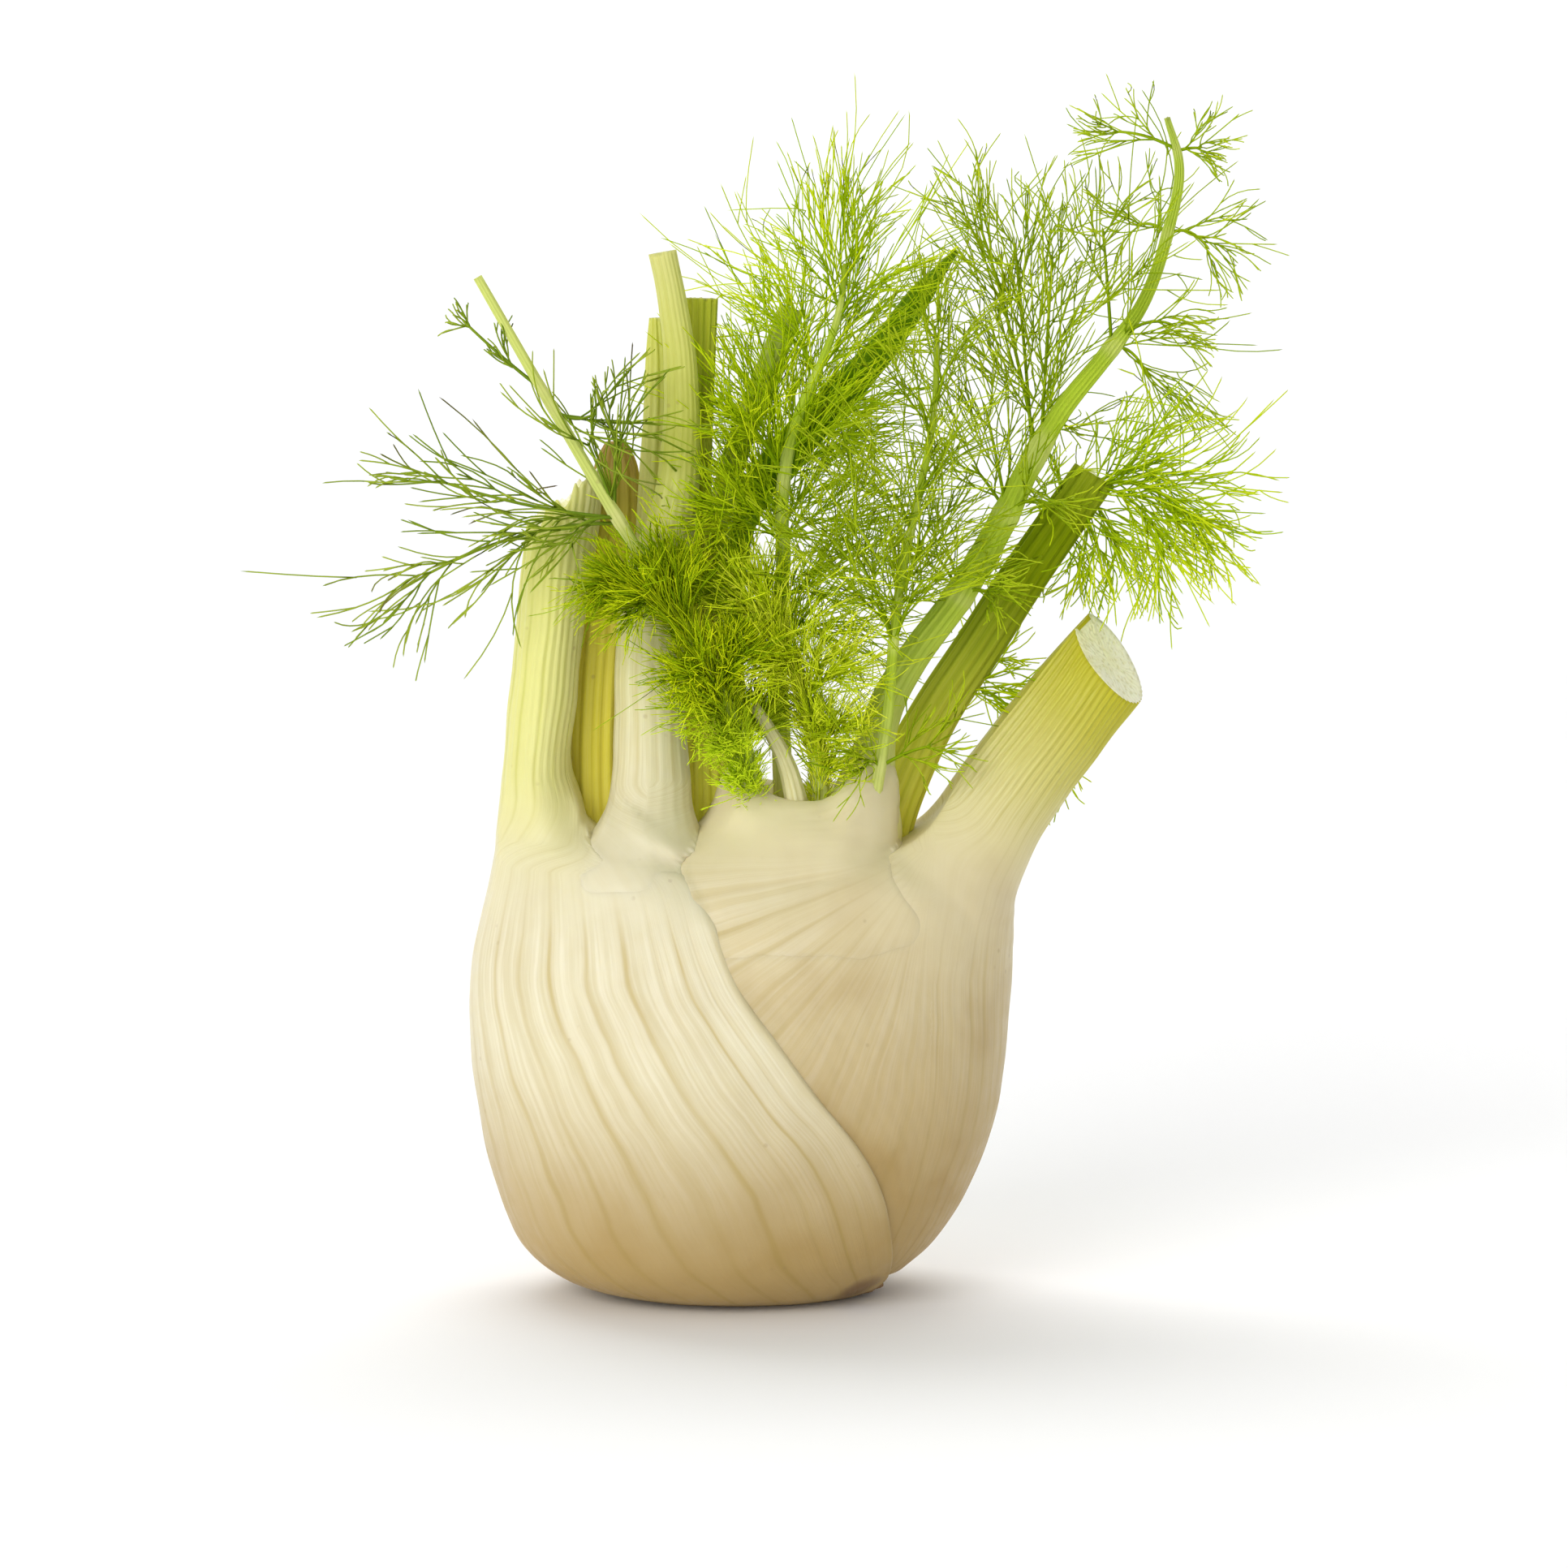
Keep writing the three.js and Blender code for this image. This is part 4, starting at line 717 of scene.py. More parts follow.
LEFT_TOP = stations("x z a b front back step soft feather turns", [
    (2.4, 69.5, 49, 30.4, -5, 6, 1, 1.2),
    (2.2, 76.5, 47.2, 26.6, -8, 2, 1, 1.4),
    (2, 81.5, 46.2, 23.8, -11, -6, 0.8, 1.5, (4, 9)),
    (0, 85.5, 43.9, 20.5, -37, -30, 0.4, 1, (5, 7), (-98, -42)),
], lean=0) + stations("x y z a b lean back", [
    (-35.3, 0, 90.5, 8.2, 13.0, -3, 40), (-36.2, -0.5, 98, 6.4, 10.4, 3, 58),
    (-35.4, -1, 112, 6.4, 9, 6, 62), (-33.5, -1.5, 128, 6.5, 8.2, 5, 64),
    (-32, -2, 140, 7.0, 7.6, -14, 66), (-31.2, -2.2, 148, 8.6, 7.1, -36, 70),
], front=100, turns=(-92, 62))
LEFT_RIB_HEIGHTS = [0.05] * 14 + [0.08, 0.14, 0.18, 0.2, 0.22, 0.25]
LEFT_GREENS = [0] * 11 + [0.05, 0.15, 0.3, 0.5, 0.68, 0.78, 0.85, 0.95, 1.0]
LEFT_SHARES = [1] * 13 + [0.82] * 7  # of its veins, the rest run up beside the middle stalk
GREEN_IN_FRONT = (-20, -33)  # across: in front the left leaf is green only near its own stalk
RIGHT_TOP = stations("x z a b lean front back soft step feather slant", [
    (3.2, 69.5, 48.6, 30.4, 3, 12, 10, 1, 1, (4, 13)),
    (14, 76.5, 38.3, 26.4, 11, 22, 18, 1, 0.7, (5, 13)),
    (29.5, 79.6, 23.6, 20.6, 20, 24, 22, 2, 0.4, (5, 10)),
    (40.6, 81.8, 13.4, 14.6, 33, 46, 46, 3), (46, 88.8, 11.4, 10.8, 40, 56, 56, 3),
    (53.2, 99, 10.5, 9, 45, 60, 60, 2), (61, 109, 10.2, 8.2, 50, 62, 62, 2),
    (69, 118.7, 10.1, 7.8, 53, 64, 64, 2, 0, (0, 1), 3.2),
])
RIGHT_RIB_HEIGHTS = [0.05] * 9 + [0.06, 0.1, 0.14, 0.2, 0.25, 0.3, 0.3]
RIGHT_GREENS = [0] * 11 + [0.05, 0.3, 0.65, 0.9, 1.0]
# x, y, z, half width, half depth, lean, lift, power
COLLAR = [
    (3, 0, 5.4, 11, 9, 0, 0, 1), (4, 0, 48, 25, 20, 0, 0, 1), (5.5, 0, 66, 41, 30.4, 0, 0, 1),
    (6.2, 0, 70, 39.5, 30.0, 0, 0, 0.96), (7.2, 0, 74, 37, 28.4, 0, 0, 0.9),
    (8, 0, 78, 32.5, 26.2, 0, 0, 0.84), (8.8, 0, 81.5, 26, 24.0, 0, 0, 0.8),
    (9.8, 0, 84.5, 21.2, 21.6, 0, 0, 0.8),
    (12.0, 0, 88, 18.6, 18.6, 0, 0, 0.84), (13.2, 0, 91, 17.4, 15.8, 0, 0.8, 0.9),
    (13.6, 0, 93.2, 16.2, 13.2, 0, 2.6, 0.95), (13.7, 0, 94, 14.6, 11.0, 0, 3.4, 1),
    (13.6, 0, 92.8, 12.8, 9, 0, 2.8, 1), (13, 0, 89.5, 9, 6, 0, 0, 1),
]
PLATE = [
    (2, 0, 0, 21, 14.5, 0), (2.6, 0, 1.0, 24, 15.8, 0), (2.7, 0, 2.2, 24.8, 16.2, 0),
    (2.7, 0, 3.4, 24.6, 15.8, 0), (2.5, 0, 5, 18, 12, 0),
]
PLATE_RIBS = [0, 1, 1, 1, 0.4]

# The left leaf's lip on the bulb's front, by height and x, and the step down over it
LIP_HEIGHTS, LIP_PLACES = (78, 82.4, 86.2, 89.3, 92.1, 95), (-3.5, -6.6, -10.5, -14.3, -18, -22)
LIP_STEP = 0.8
LIP_SLANT = 0.75  # of the distance across the lip is square to it
LINE_SPAN = 116  # the left leaf's width at its lip
MARGIN_PLEATS = 0.08  # more of its veins, crowded towards its front margin
SMOOTH_FOOT = (66, 78, 90, 100)  # heights where the skin at the middle stalk's foot turns smooth and back
STALK_LINES = (88, 97)  # heights over which the middle stalk's lines turn from the leaf's to its own
LINE_SHIFT = 0.35

# The right leaf's veins
FAN_EYE = (36.0, 85.0)  # where they draw together, across and up
FAN_SPREAD = 75  # degrees that take them across the leaf's front
MIDDLE_VEIN = 0.7  # where the middle one runs, as a share of the way to the right edge
STALK_BASE = (82, -46, 52, 22)  # the outline's row where the stalks begin
STALK_FOOT = (41.0, 82.0)
STALK_WAY = (0.607, 0.795)
STALK_HALF_WIDTH, STALK_HALF_DEPTH = 11.0, 9.0
STALK_BLEND = (-7, 9)  # along the stalk from its foot, where the fan turns into the stalk's own lines
EYE_CLEAR = (34, 9)  # from the eye: where the lines begin to fade and where they are faintest
EYE_TOP = (92, 84)
FAINTEST = 0.15

# Low relief: height, width and seed of each size of it
SWELLS = ((0.45, 42, 3), (0.1, 11, 21))
TORN_EDGE = ((1.5, 5.5, 31), (0.8, 1.9, 33))
COLLAR_SWELLS = ((0.3, 19, 9),)
RIPPLE_WAVER = ((0.8, 16, 5),)
FIBRES = ((0.5, 5, 2), (0.3, 1.8, 4))
TORN_ROWS = 9
LIP_BAND = (77, 81, 90, 96)  # heights between which the lip is carried on over the middle stalk's foot
LIP_FRONT = -3
RIPPLE_HEIGHT, RIPPLE_LENGTH = 0.09, 1.6
RIPPLE_BAND, RIPPLE_SIDE = (84, 89, 93.5, 98), (8, 16)
LEFT_HORN_HEIGHT, LEFT_HORN_PLACE, LEFT_HORN_WIDTH = 3.2, 0.5, 4.5
RIGHT_HORN_HEIGHT, RIGHT_HORN_SIDE = 4.0, (15, 25)
RIM_DROP = 0.6
RIM_BAND, RIM_FRONT = (87, 93), (2, -4)


def bulge(grid):
    """Slow swells over the surface, so that no stretch of it is a plain ellipse."""
    out = unit((grid - [2.0, 0, 0]) * [1, 1, 0])
    return grid + out * waves(grid, SWELLS)[..., None]


def torn_top(grid):
    """The left leaf with swells, and a jagged edge on its last rows, which stand up and down by quick
    noise of the place across."""
    grid = bulge(grid)
    near = smoothstep(-TORN_ROWS, 0, np.arange(len(grid)) - len(grid) + 1)[:, None]
    grid[..., 2] += near * waves(grid * [1, 1, 0], TORN_EDGE)
    return grid


def crowded(across):
    """The left leaf's lines, drawn closer together towards its front margin."""
    return across + MARGIN_PLEATS * smoothstep(0.86, 1.0, across) ** 2


def fan_lines(grid):
    """The right leaf's veins: they fan down from the eye over the bulb's front, run on round its side by
    the angle about its middle, and run along the stalk above. The back is the front's mirror."""
    x, y, z = np.moveaxis(grid, -1, 0)
    heights, lefts, rights, depths = np.array(OUTLINE + [STALK_BASE]).T
    left_edge, right_edge = np.interp(z, heights, lefts), np.interp(z, heights, rights)
    centre, half = (right_edge + left_edge) / 2, (right_edge - left_edge) / 2
    middle = MIDDLE_VEIN * right_edge
    start = np.degrees(np.arcsin((middle - centre) / half))
    turn = np.degrees(np.arctan2((x - centre) / half, np.abs(y) / np.interp(z, heights, depths)))
    fan = np.degrees(np.arctan2(x - middle, np.maximum(FAN_EYE[1] - z, 0.5))) / FAN_SPREAD
    fan = np.where(x < middle, fan, (turn - start) / (90 - start))
    dx, dz = x - STALK_FOOT[0], z - STALK_FOOT[1]
    aside = (dx * STALK_WAY[1] - dz * STALK_WAY[0]) / STALK_HALF_WIDTH
    round_stalk = np.arctan2(aside, np.abs(y) / STALK_HALF_DEPTH) / (math.pi / 2)
    share = smoothstep(*STALK_BLEND, dx * STALK_WAY[0] + dz * STALK_WAY[1])
    lines = fan * (1 - share) + round_stalk * share
    return np.where(y < 0, lines, 2 - lines) * 0.5


def clear_of_eye(grid):
    """How strong the fan's lines are: they fade towards the eye, where they would crowd together."""
    away = np.hypot(grid[..., 0] - FAN_EYE[0], grid[..., 2] - FAN_EYE[1])
    return 1 - (1 - FAINTEST) * smoothstep(*EYE_CLEAR, away) * smoothstep(*EYE_TOP, grid[..., 2])


def past_lip(x, z):
    """How far right of the left leaf's lip a place is."""
    return x - np.interp(z, LIP_HEIGHTS, LIP_PLACES)


def beside_lip(grid, across):
    """The middle stalk's lines: low down they run straight up beside the left leaf's lip, by the
    distance across from it, and higher up they are its own ring's."""
    share = smoothstep(*STALK_LINES, grid[..., 2])
    level = crowded(1.0 + past_lip(grid[..., 0], grid[..., 2]) / LINE_SPAN)
    return level * (1 - share) + (across + LINE_SHIFT) * share


def smooth_foot(grid):
    """How strong the lines are near the middle stalk's foot: the skin is smooth there, in front."""
    x, y, z = np.moveaxis(grid, -1, 0)
    near = band(z, *SMOOTH_FOOT) * (0.6 + 0.4 * smoothstep(-33, -26, x))
    return 1 - (1 - FAINTEST) * near * smoothstep(4, -4, x) * smoothstep(0, -5, y)


def lipped(grid):
    """The middle stalk with the left leaf's lip carried on across its foot: the side below the lip
    stands a step proud, fading out at the lip's upper end."""
    grid = bulge(grid)
    past = past_lip(grid[..., 0], grid[..., 2]) * LIP_SLANT
    fade = band(grid[..., 2], *LIP_BAND) * (grid[..., 1] < LIP_FRONT)
    grid[..., 1] -= LIP_STEP * (smoothstep(0.5, -0.5, past) - 0.5) * fade
    return grid


def saddle_wrinkles(grid):
    """Low ripples that run level round the collar's right, wavering, slow swells, and a rim that stands
    higher in front at its left and its right."""
    x, y, z = np.moveaxis(grid, -1, 0)
    ripple = RIPPLE_HEIGHT * np.sin(2 * math.pi * (z + waves(grid, RIPPLE_WAVER)) / RIPPLE_LENGTH)
    share = band(z, *RIPPLE_BAND) * smoothstep(*RIPPLE_SIDE, x)
    out = unit((grid - [12.5, 0, 0]) * [1, 1, 0])
    grid = grid + out * (ripple * share + waves(grid, COLLAR_SWELLS))[..., None]
    x, y, z = np.moveaxis(grid, -1, 0)
    left_horn = LEFT_HORN_HEIGHT * np.exp(-(((x - LEFT_HORN_PLACE) / LEFT_HORN_WIDTH) ** 2))
    rim = left_horn + RIGHT_HORN_HEIGHT * smoothstep(*RIGHT_HORN_SIDE, x) - RIM_DROP
    grid[..., 2] += rim * smoothstep(*RIM_BAND, z) * smoothstep(*RIM_FRONT, y)
    return grid


def torn_fibres(grid):
    """A rough torn rim: the ring is pushed in and out by quick noise, except on its flat underside."""
    share = smoothstep(0.05, 1.0, grid[..., 2])
    out = unit((grid - [2.5, 0, 0]) * [1, 1, 0])
    return grid + out * (share * waves(grid, FIBRES))[..., None]


def shape_bulb():
    """The two outer leaves, the inner one and the root plate, as lofts."""
    left = [bulb_section(row, *margins) for row, margins in zip(OUTLINE, LEFT_MARGINS)] + LEFT_TOP
    right = [
        bulb_section(row, RIGHT_REACH - front, RIGHT_REACH - back, soft=3.0)
        for row, (front, back) in zip(OUTLINE[2:], LEFT_MARGINS[2:])
    ] + RIGHT_TOP
    rings, lines = wrap_rings(left, side=-1, arc=300, rib_count=42, rib_heights=LEFT_RIB_HEIGHTS)
    outer_left = Loft(rings, lines, 1.0, LEFT_GREENS, torn_top, LEFT_SHARES, relaxed=(72, 97, 40))
    rings, lines = wrap_rings(right, side=1, arc=280, rib_count=40, rib_heights=RIGHT_RIB_HEIGHTS)
    outer_right = Loft(rings, lines, 1.0, RIGHT_GREENS, bulge, relaxed=(70, 96, 40))
    collar = Loft(*stalk_rings(COLLAR, 220, 16, 0.1), 0.8, [0] * len(COLLAR), saddle_wrinkles)
    plate = Loft(*stalk_rings(PLATE, 220, 37, 0.9, PLATE_RIBS), 0.5, [0] * len(PLATE), torn_fibres)
    x, y, z = np.moveaxis(outer_left.grid, -1, 0)
    outer_left.across = crowded(outer_left.across)
    outer_left.strength = smooth_foot(outer_left.grid)
    outer_left.green *= np.where(y < 0, smoothstep(*GREEN_IN_FRONT, x), 1.0)
    for leaf in (outer_right, collar):
        leaf.across = fan_lines(leaf.grid)
        leaf.strength = clear_of_eye(leaf.grid)
    collar.strength *= 1 - smoothstep(79, 87, collar.grid[..., 2])
    names = ("outer_left_leaf", "outer_right_leaf", "inner_sheath", "root_plate")
    return dict(zip(names, (outer_left, outer_right, collar, plate)))


# Stalks

# name: rows of x, y, z, half width, half depth, lean, lift and power; greens; rib height; finish, cut,
# ribs and slot
STALKS = {
    "middle_stalk": (
        [(-13, -7, 68, 13, 15.5, 0, 0, 0.85), (-13, -7.4, 74, 15, 18, 0, 0, 0.85),
         (-13.5, -7.3, 78, 15.4, 17.6, 0, 0, 0.85), (-14.6, -7.2, 81, 14, 16.1, 0, 0, 0.86),
         (-16, -6.8, 84.5, 11.4, 13.9, 0, 0, 0.9), (-15.9, -6.2, 88, 9.3, 11.2, 0, 0, 0.95),
         (-15.6, -5.7, 91.5, 7.8, 8.9, 0), (-15.3, -5, 97.5, 7.1, 7.0), (-15.4, -4.5, 106, 6.6, 5.8),
         (-15.2, -4, 120, 6.3, 5.1), (-13.7, -4, 135, 5.9, 4.6), (-10.8, -4, 146, 4.4, 3.7),
         (-9.5, -4, 157, 3.6, 3.1), (-9.7, -4, 170, 3.1, 2.7), (-11.2, -4.1, 183, 2.7, 2.3),
         (-13, -4.4, 193.2, 2.6, 2.1)],
        [0, 0, 0, 0, 0, 0.02, 0.03, 0.06, 0.12, 0.3, 0.5, 0.65, 0.85, 0.8, 0.7, 0.6],
        0.09, "pale_stalk_skin", "green_cut_face", 20, "pale_stalk"),
    "middle_stalk_left": (
        [(-13.5, 4.4, 78, 2.8, 2.7), (-14.6, 4.7, 100, 2.9, 2.7), (-15.4, 4.6, 120, 3, 2.6),
         (-15.6, 4.1, 135, 2.9, 2.4), (-15.1, 3.4, 148, 2.7, 2.2), (-14.3, 2.6, 163, 2.4, 1.9),
         (-14.2, 2.2, 175, 1.9, 1.6), (-14.4, 2.1, 181, 1.1, 1)],
        [0, 0.1, 0.3, 0.5, 0.6, 0.7, 0.8, 0.8], 0.3, "pale_stalk_skin", "green_cut_face", 10, "pale_stalk"),
    "middle_stalk_right": (
        [(-5, 4.6, 80, 3.4, 3.2), (-5.2, 4.8, 98, 3.6, 3.1), (-6, 4.7, 120, 3.4, 2.9),
         (-6.9, 4.2, 136, 3, 2.6), (-7.1, 3.9, 150, 2.7, 2.4), (-6.4, 3.7, 168, 2.5, 2.2),
         (-5.9, 3.5, 184.5, 2.7, 2)],
        [0.0, 0.15, 0.35, 0.45, 0.55, 0.6, 0.65],
        0.55, "green_stalk_skin", "green_cut_face", 11, "green_stalk"),
    "olive_stalk": (
        [(-22.5, 6.8, 76, 4.6, 5.4), (-25.2, 7, 88, 5.2, 5.8), (-25.6, 7, 98, 5.2, 5.2),
         (-24.6, 7, 120, 5.1, 4.8), (-22.9, 7, 136, 4.9, 4.3), (-21.9, 7, 149, 4.5, 3.8),
         (-21.9, 7, 155, 3.3, 3), (-22, 7, 158, 1.6, 1.6)],
        [0, 0, 0.02, 0.06, 0.15, 0.7, 1, 1], 0.5, "olive_stalk_skin", "dry_cut_face", 13, "olive_stalk"),
    "tall_leaf": (
        [(22.4, -2.6, 77, 6.5, 7.5, 0), (23.2, -2.8, 86, 7.6, 8.4, 0), (24, -2.6, 92, 6.4, 7),
         (25, -2, 98, 4.7, 5.2), (26.3, -1.4, 104, 3.4, 3.6), (28.3, -0.8, 110.5, 3.1, 3.2),
         (32.6, 0, 118, 2.8, 2.8), (41.2, 1, 129.7, 2.6, 2.5), (49.3, 2, 143.5, 2.4, 2.2),
         (54.2, 3, 153.5, 2.0, 1.8), (59.6, 3, 163, 1.7, 1.6), (69, 3, 175, 1.4, 1.3),
         (74.4, 3, 182.5, 1.1, 1.1), (79.4, 2, 196.5, 0.9, 0.9), (81.2, 0, 209.5, 0.7, 0.7),
         (78.9, -1, 217.5, 0.4, 0.4)],
        [0, 0, 0.05, 0.25, 0.5, 0.7, 0.85, 0.95, 1, 1, 1, 1, 1, 0.95, 0.9, 0.8],
        0.35, "stem_skin", "green_cut_face", 12, "frond_green"),
    "green_leaf": (
        [(26.5, 6, 79, 5, 6), (28, 6.6, 88, 5.4, 5.6), (31.6, 7.8, 96.5, 4.9, 4.6),
         (37.6, 8.8, 108, 4.4, 4), (45.5, 9.6, 120, 4.3, 3.8), (53.6, 10.4, 132.6, 4.2, 3.6),
         (60.8, 11.2, 143, 4.1, 3.4), (66.8, 11.8, 151.6, 4, 3.2, 30)],
        [0, 0.1, 0.25, 0.5, 0.8, 1, 1, 0.9], 0.5, "green_stalk_skin", "pale_cut_face", 13, "frond_green"),
    "rear_stalk_right": (
        [(4, 12, 84, 2.6, 2.5), (0.4, 14, 96, 2.7, 2.5), (-0.6, 16, 105, 2.8, 2.5),
         (-1.6, 17.4, 124, 3, 2.5), (1.5, 17.4, 144, 3.2, 2.6), (8.2, 17.8, 153.5, 3.4, 2.6),
         (17.4, 18.2, 163.5, 3.3, 2.5),
         (27.8, 18.6, 175, 2.6, 2.1), (35.5, 19, 185.6, 1.9, 1.6), (38.4, 19.2, 189.2, 1, 0.9),
         (41.2, 19.4, 192.7, 0.4, 0.4)],
        [0.3, 0.35, 0.4, 0.6, 0.8, 1, 1, 1, 1, 0.9, 0.9],
        0.3, "dark_stalk_skin", "green_cut_face", 11, "green_stalk"),
}
# name: route, root and tip radius, green at the root and higher up, finish, cut, ribs, slot
STEMS = {
    "rear_stalk_left": (
        [(-0.5, 10.4, 84), (-3.2, 11, 105), (-4.2, 11, 124), (-3.4, 11, 140), (0, 11.2, 155),
         (5, 11.7, 168), (10.6, 12.4, 182.4)],
        2.5, 2.3, 0, 0.8, "grey_stalk_skin", "green_cut_face", 9, "green_stalk"),
    "spike_leaf": (
        [(12.5, -7.5, 86), (11.4, -9.4, 93), (9.6, -10.6, 100), (7, -11.2, 105.5), (3.6, -11.4, 111)],
        2.4, 0.9, 0, 0.25, "pale_stalk_skin", "pale_cut_face", 8, "leaf_base_skin"),
    "central_leaf": (
        [(9.4, 2, 86), (8.6, 1.4, 104), (8, 0.6, 124), (9, 0, 136), (8.8, 0, 146), (9.4, -0.4, 153.5),
         (12, -1, 164), (16, -1.2, 173), (19.2, -1, 182), (20.4, -0.6, 191)],
        1.9, 0.5, 0.2, 1, "stem_skin", "green_cut_face", 8, "frond_green"),
    "young_front_leaf": (
        [(3.8, -6, 87), (3, -10, 95), (1, -14.5, 105), (-3, -17.5, 115), (-8, -19.5, 124.5),
         (-14, -20.5, 132), (-21, -21, 135.5)],
        2.1, 0.6, 0.1, 0.9, "stem_skin", "green_cut_face", 8, "young_frond_green"),
    "young_heart_leaf": (
        [(15.6, -3.4, 87.5), (15.6, -6.4, 99), (14.4, -8.6, 108.5), (11, -10.6, 117.5), (6.8, -12, 126.5)],
        2.0, 0.6, 0.1, 0.8, "stem_skin", "green_cut_face", 8, "young_frond_green"),
    "slender_leaf": (
        [(25.4, -9.6, 91), (26.6, -10.4, 99), (28.2, -10.6, 110), (29, -10.8, 121.5), (30.6, -11, 135),
         (33.8, -11, 150), (36.4, -11, 165), (36.8, -11, 177)],
        1.15, 0.45, 0.5, 1, "stem_skin", "green_cut_face", 7, "frond_green"),
    "wispy_leaf": (
        [(5.4, -1.8, 86.5), (3, -7, 99), (-1.4, -10.2, 111), (-10, -12.4, 127.5), (-18, -13.4, 140.2),
         (-30.8, -14, 162), (-46.2, -14, 189)],
        1.5, 0.8, 0.4, 0.6, "stem_skin", "pale_cut_face", 7, "dull_frond_green"),
}
STEM_RIB_HEIGHT = 0.12  # as a share of the radius
JOINTED = ("tall_leaf", "central_leaf", "slender_leaf", "wispy_leaf")
JOINT_REACH = 1.3
# Two forms that grow into each other, and how far apart they start to
MEETINGS = [
    ("outer_left_leaf", "middle_stalk", 1.6), ("outer_right_leaf", "inner_sheath", 6.0),
    ("middle_stalk", "inner_sheath", 3.0), ("inner_sheath", "tall_leaf", 4.0),
    ("inner_sheath", "green_leaf", 3.0), ("outer_right_leaf", "tall_leaf", 2.0),
    ("middle_stalk", "middle_stalk_right", 2.0),
]
# Heights at the middle stalk's foot, and how far proud of the left leaf it stands there
FOOT_HEIGHTS, FOOT_PROUD = (66, 72, 76, 80, 84), (-6.0, -1.6, -0.4, 0.1, 0.5)
FOOT_FREE = (80.0, 88.0)
SHOULDER_TIMES = 22
SHOULDER_HEIGHTS = (66, 74, 92, 99)
SHOULDER_EDGE = (-48, -43)
LIP_MARGIN = (-2.5, -9)  # from the lip, where the shoulder's evening starts and where it is full


def stem_rings(route, root, tip, rib_count):
    """Round sections square to a smooth route, thinning evenly from its root to its tip, with ribs. The
    first across direction is carried along the route so that the sections don't twist."""
    knots = distances(route)
    where = np.linspace(0, knots[-1], max(8, int(knots[-1] / 3)))
    middle = through(knots, route, where)
    way = unit(np.gradient(middle, axis=0))
    lines = np.arange(rib_count * 6) / (rib_count * 6)
    shares = where / knots[-1]
    radius = (root + (tip - root) * shares)[:, None] * (1 + STEM_RIB_HEIGHT * ribs(lines, rib_count))
    across = unit(np.cross([0.0, 1.0, 0.0], way))
    deep = np.cross(way, across)
    turn = (lines * 2 * math.pi)[:, None]
    out = np.cos(turn) * across[:, None] + np.sin(turn) * deep[:, None]
    return middle[:, None] + radius[..., None] * out, lines, shares


def shape_stalks():
    """Every stalk and stem as a loft, and the middle line of each."""
    lofts, middles = {}, {}
    for name, (rows, greens, rib_height, *_, rib_count, slot) in STALKS.items():
        relief = lipped if name == "middle_stalk" else None
        middles[name] = np.array([row[:3] for row in rows], float)
        lofts[name] = Loft(*stalk_rings(rows, rib_count * 8, rib_count, rib_height), 1.0, greens, relief)
    for name, (route, root, tip, low, high, *_, rib_count, slot) in STEMS.items():
        middles[name] = np.array(route, float)
        rings, lines, shares = stem_rings(middles[name], root, tip, rib_count)
        lofts[name] = Loft(rings, lines, 1.4, low + (high - low) * smoothstep(0, 0.35, shares))
    for name in JOINTED:
        add_joints(lofts[name], sorted({round(row[0], 2) for row in PLUMES[name][3]}))
    middle = lofts["middle_stalk"]
    middle.across = beside_lip(middle.grid, middle.across)
    middle.strength = FAINTEST + (1 - FAINTEST) * smoothstep(86, 100, middle.grid[..., 2])
    return lofts, middles


def add_joints(loft, places):
    """Joints where plumes leave a stem: a short swelling by a bell curve of the way along, paler green."""
    for place in places:
        bell = np.exp(-(((loft.along - place) * loft.length / JOINT_REACH) ** 2))[:, None]
        hub = loft.grid.mean(1, keepdims=True)
        loft.grid += (loft.grid - hub) * 0.08 * bell[..., None]
        loft.green = loft.green * (1 - 0.25 * bell)


def rest_on(upper, lower):
    """The upper form's foot drawn onto the lower one's front: under it low down, level with it higher
    up, and free of it at the top."""
    x, y, z = np.moveaxis(upper.grid, -1, 0)
    surface = Front(lower.grid).at(x, z)
    free = smoothstep(*FOOT_FREE, z)
    drawn = -y * free + (surface + np.interp(z, FOOT_HEIGHTS, FOOT_PROUD)) * (1 - free)
    met = (surface > 0) & (-y > surface - 6)
    upper.grid[..., 1] = np.where(met, -drawn, y)
    upper.relax(66, 92, 12)


def left_shoulder(x, z):
    """1 over the left leaf's top in front and the middle stalk's foot, fading out short of the lip."""
    short_of_lip = smoothstep(*LIP_MARGIN, past_lip(x, z))
    return band(z, *SHOULDER_HEIGHTS) * smoothstep(*SHOULDER_EDGE, x) * short_of_lip


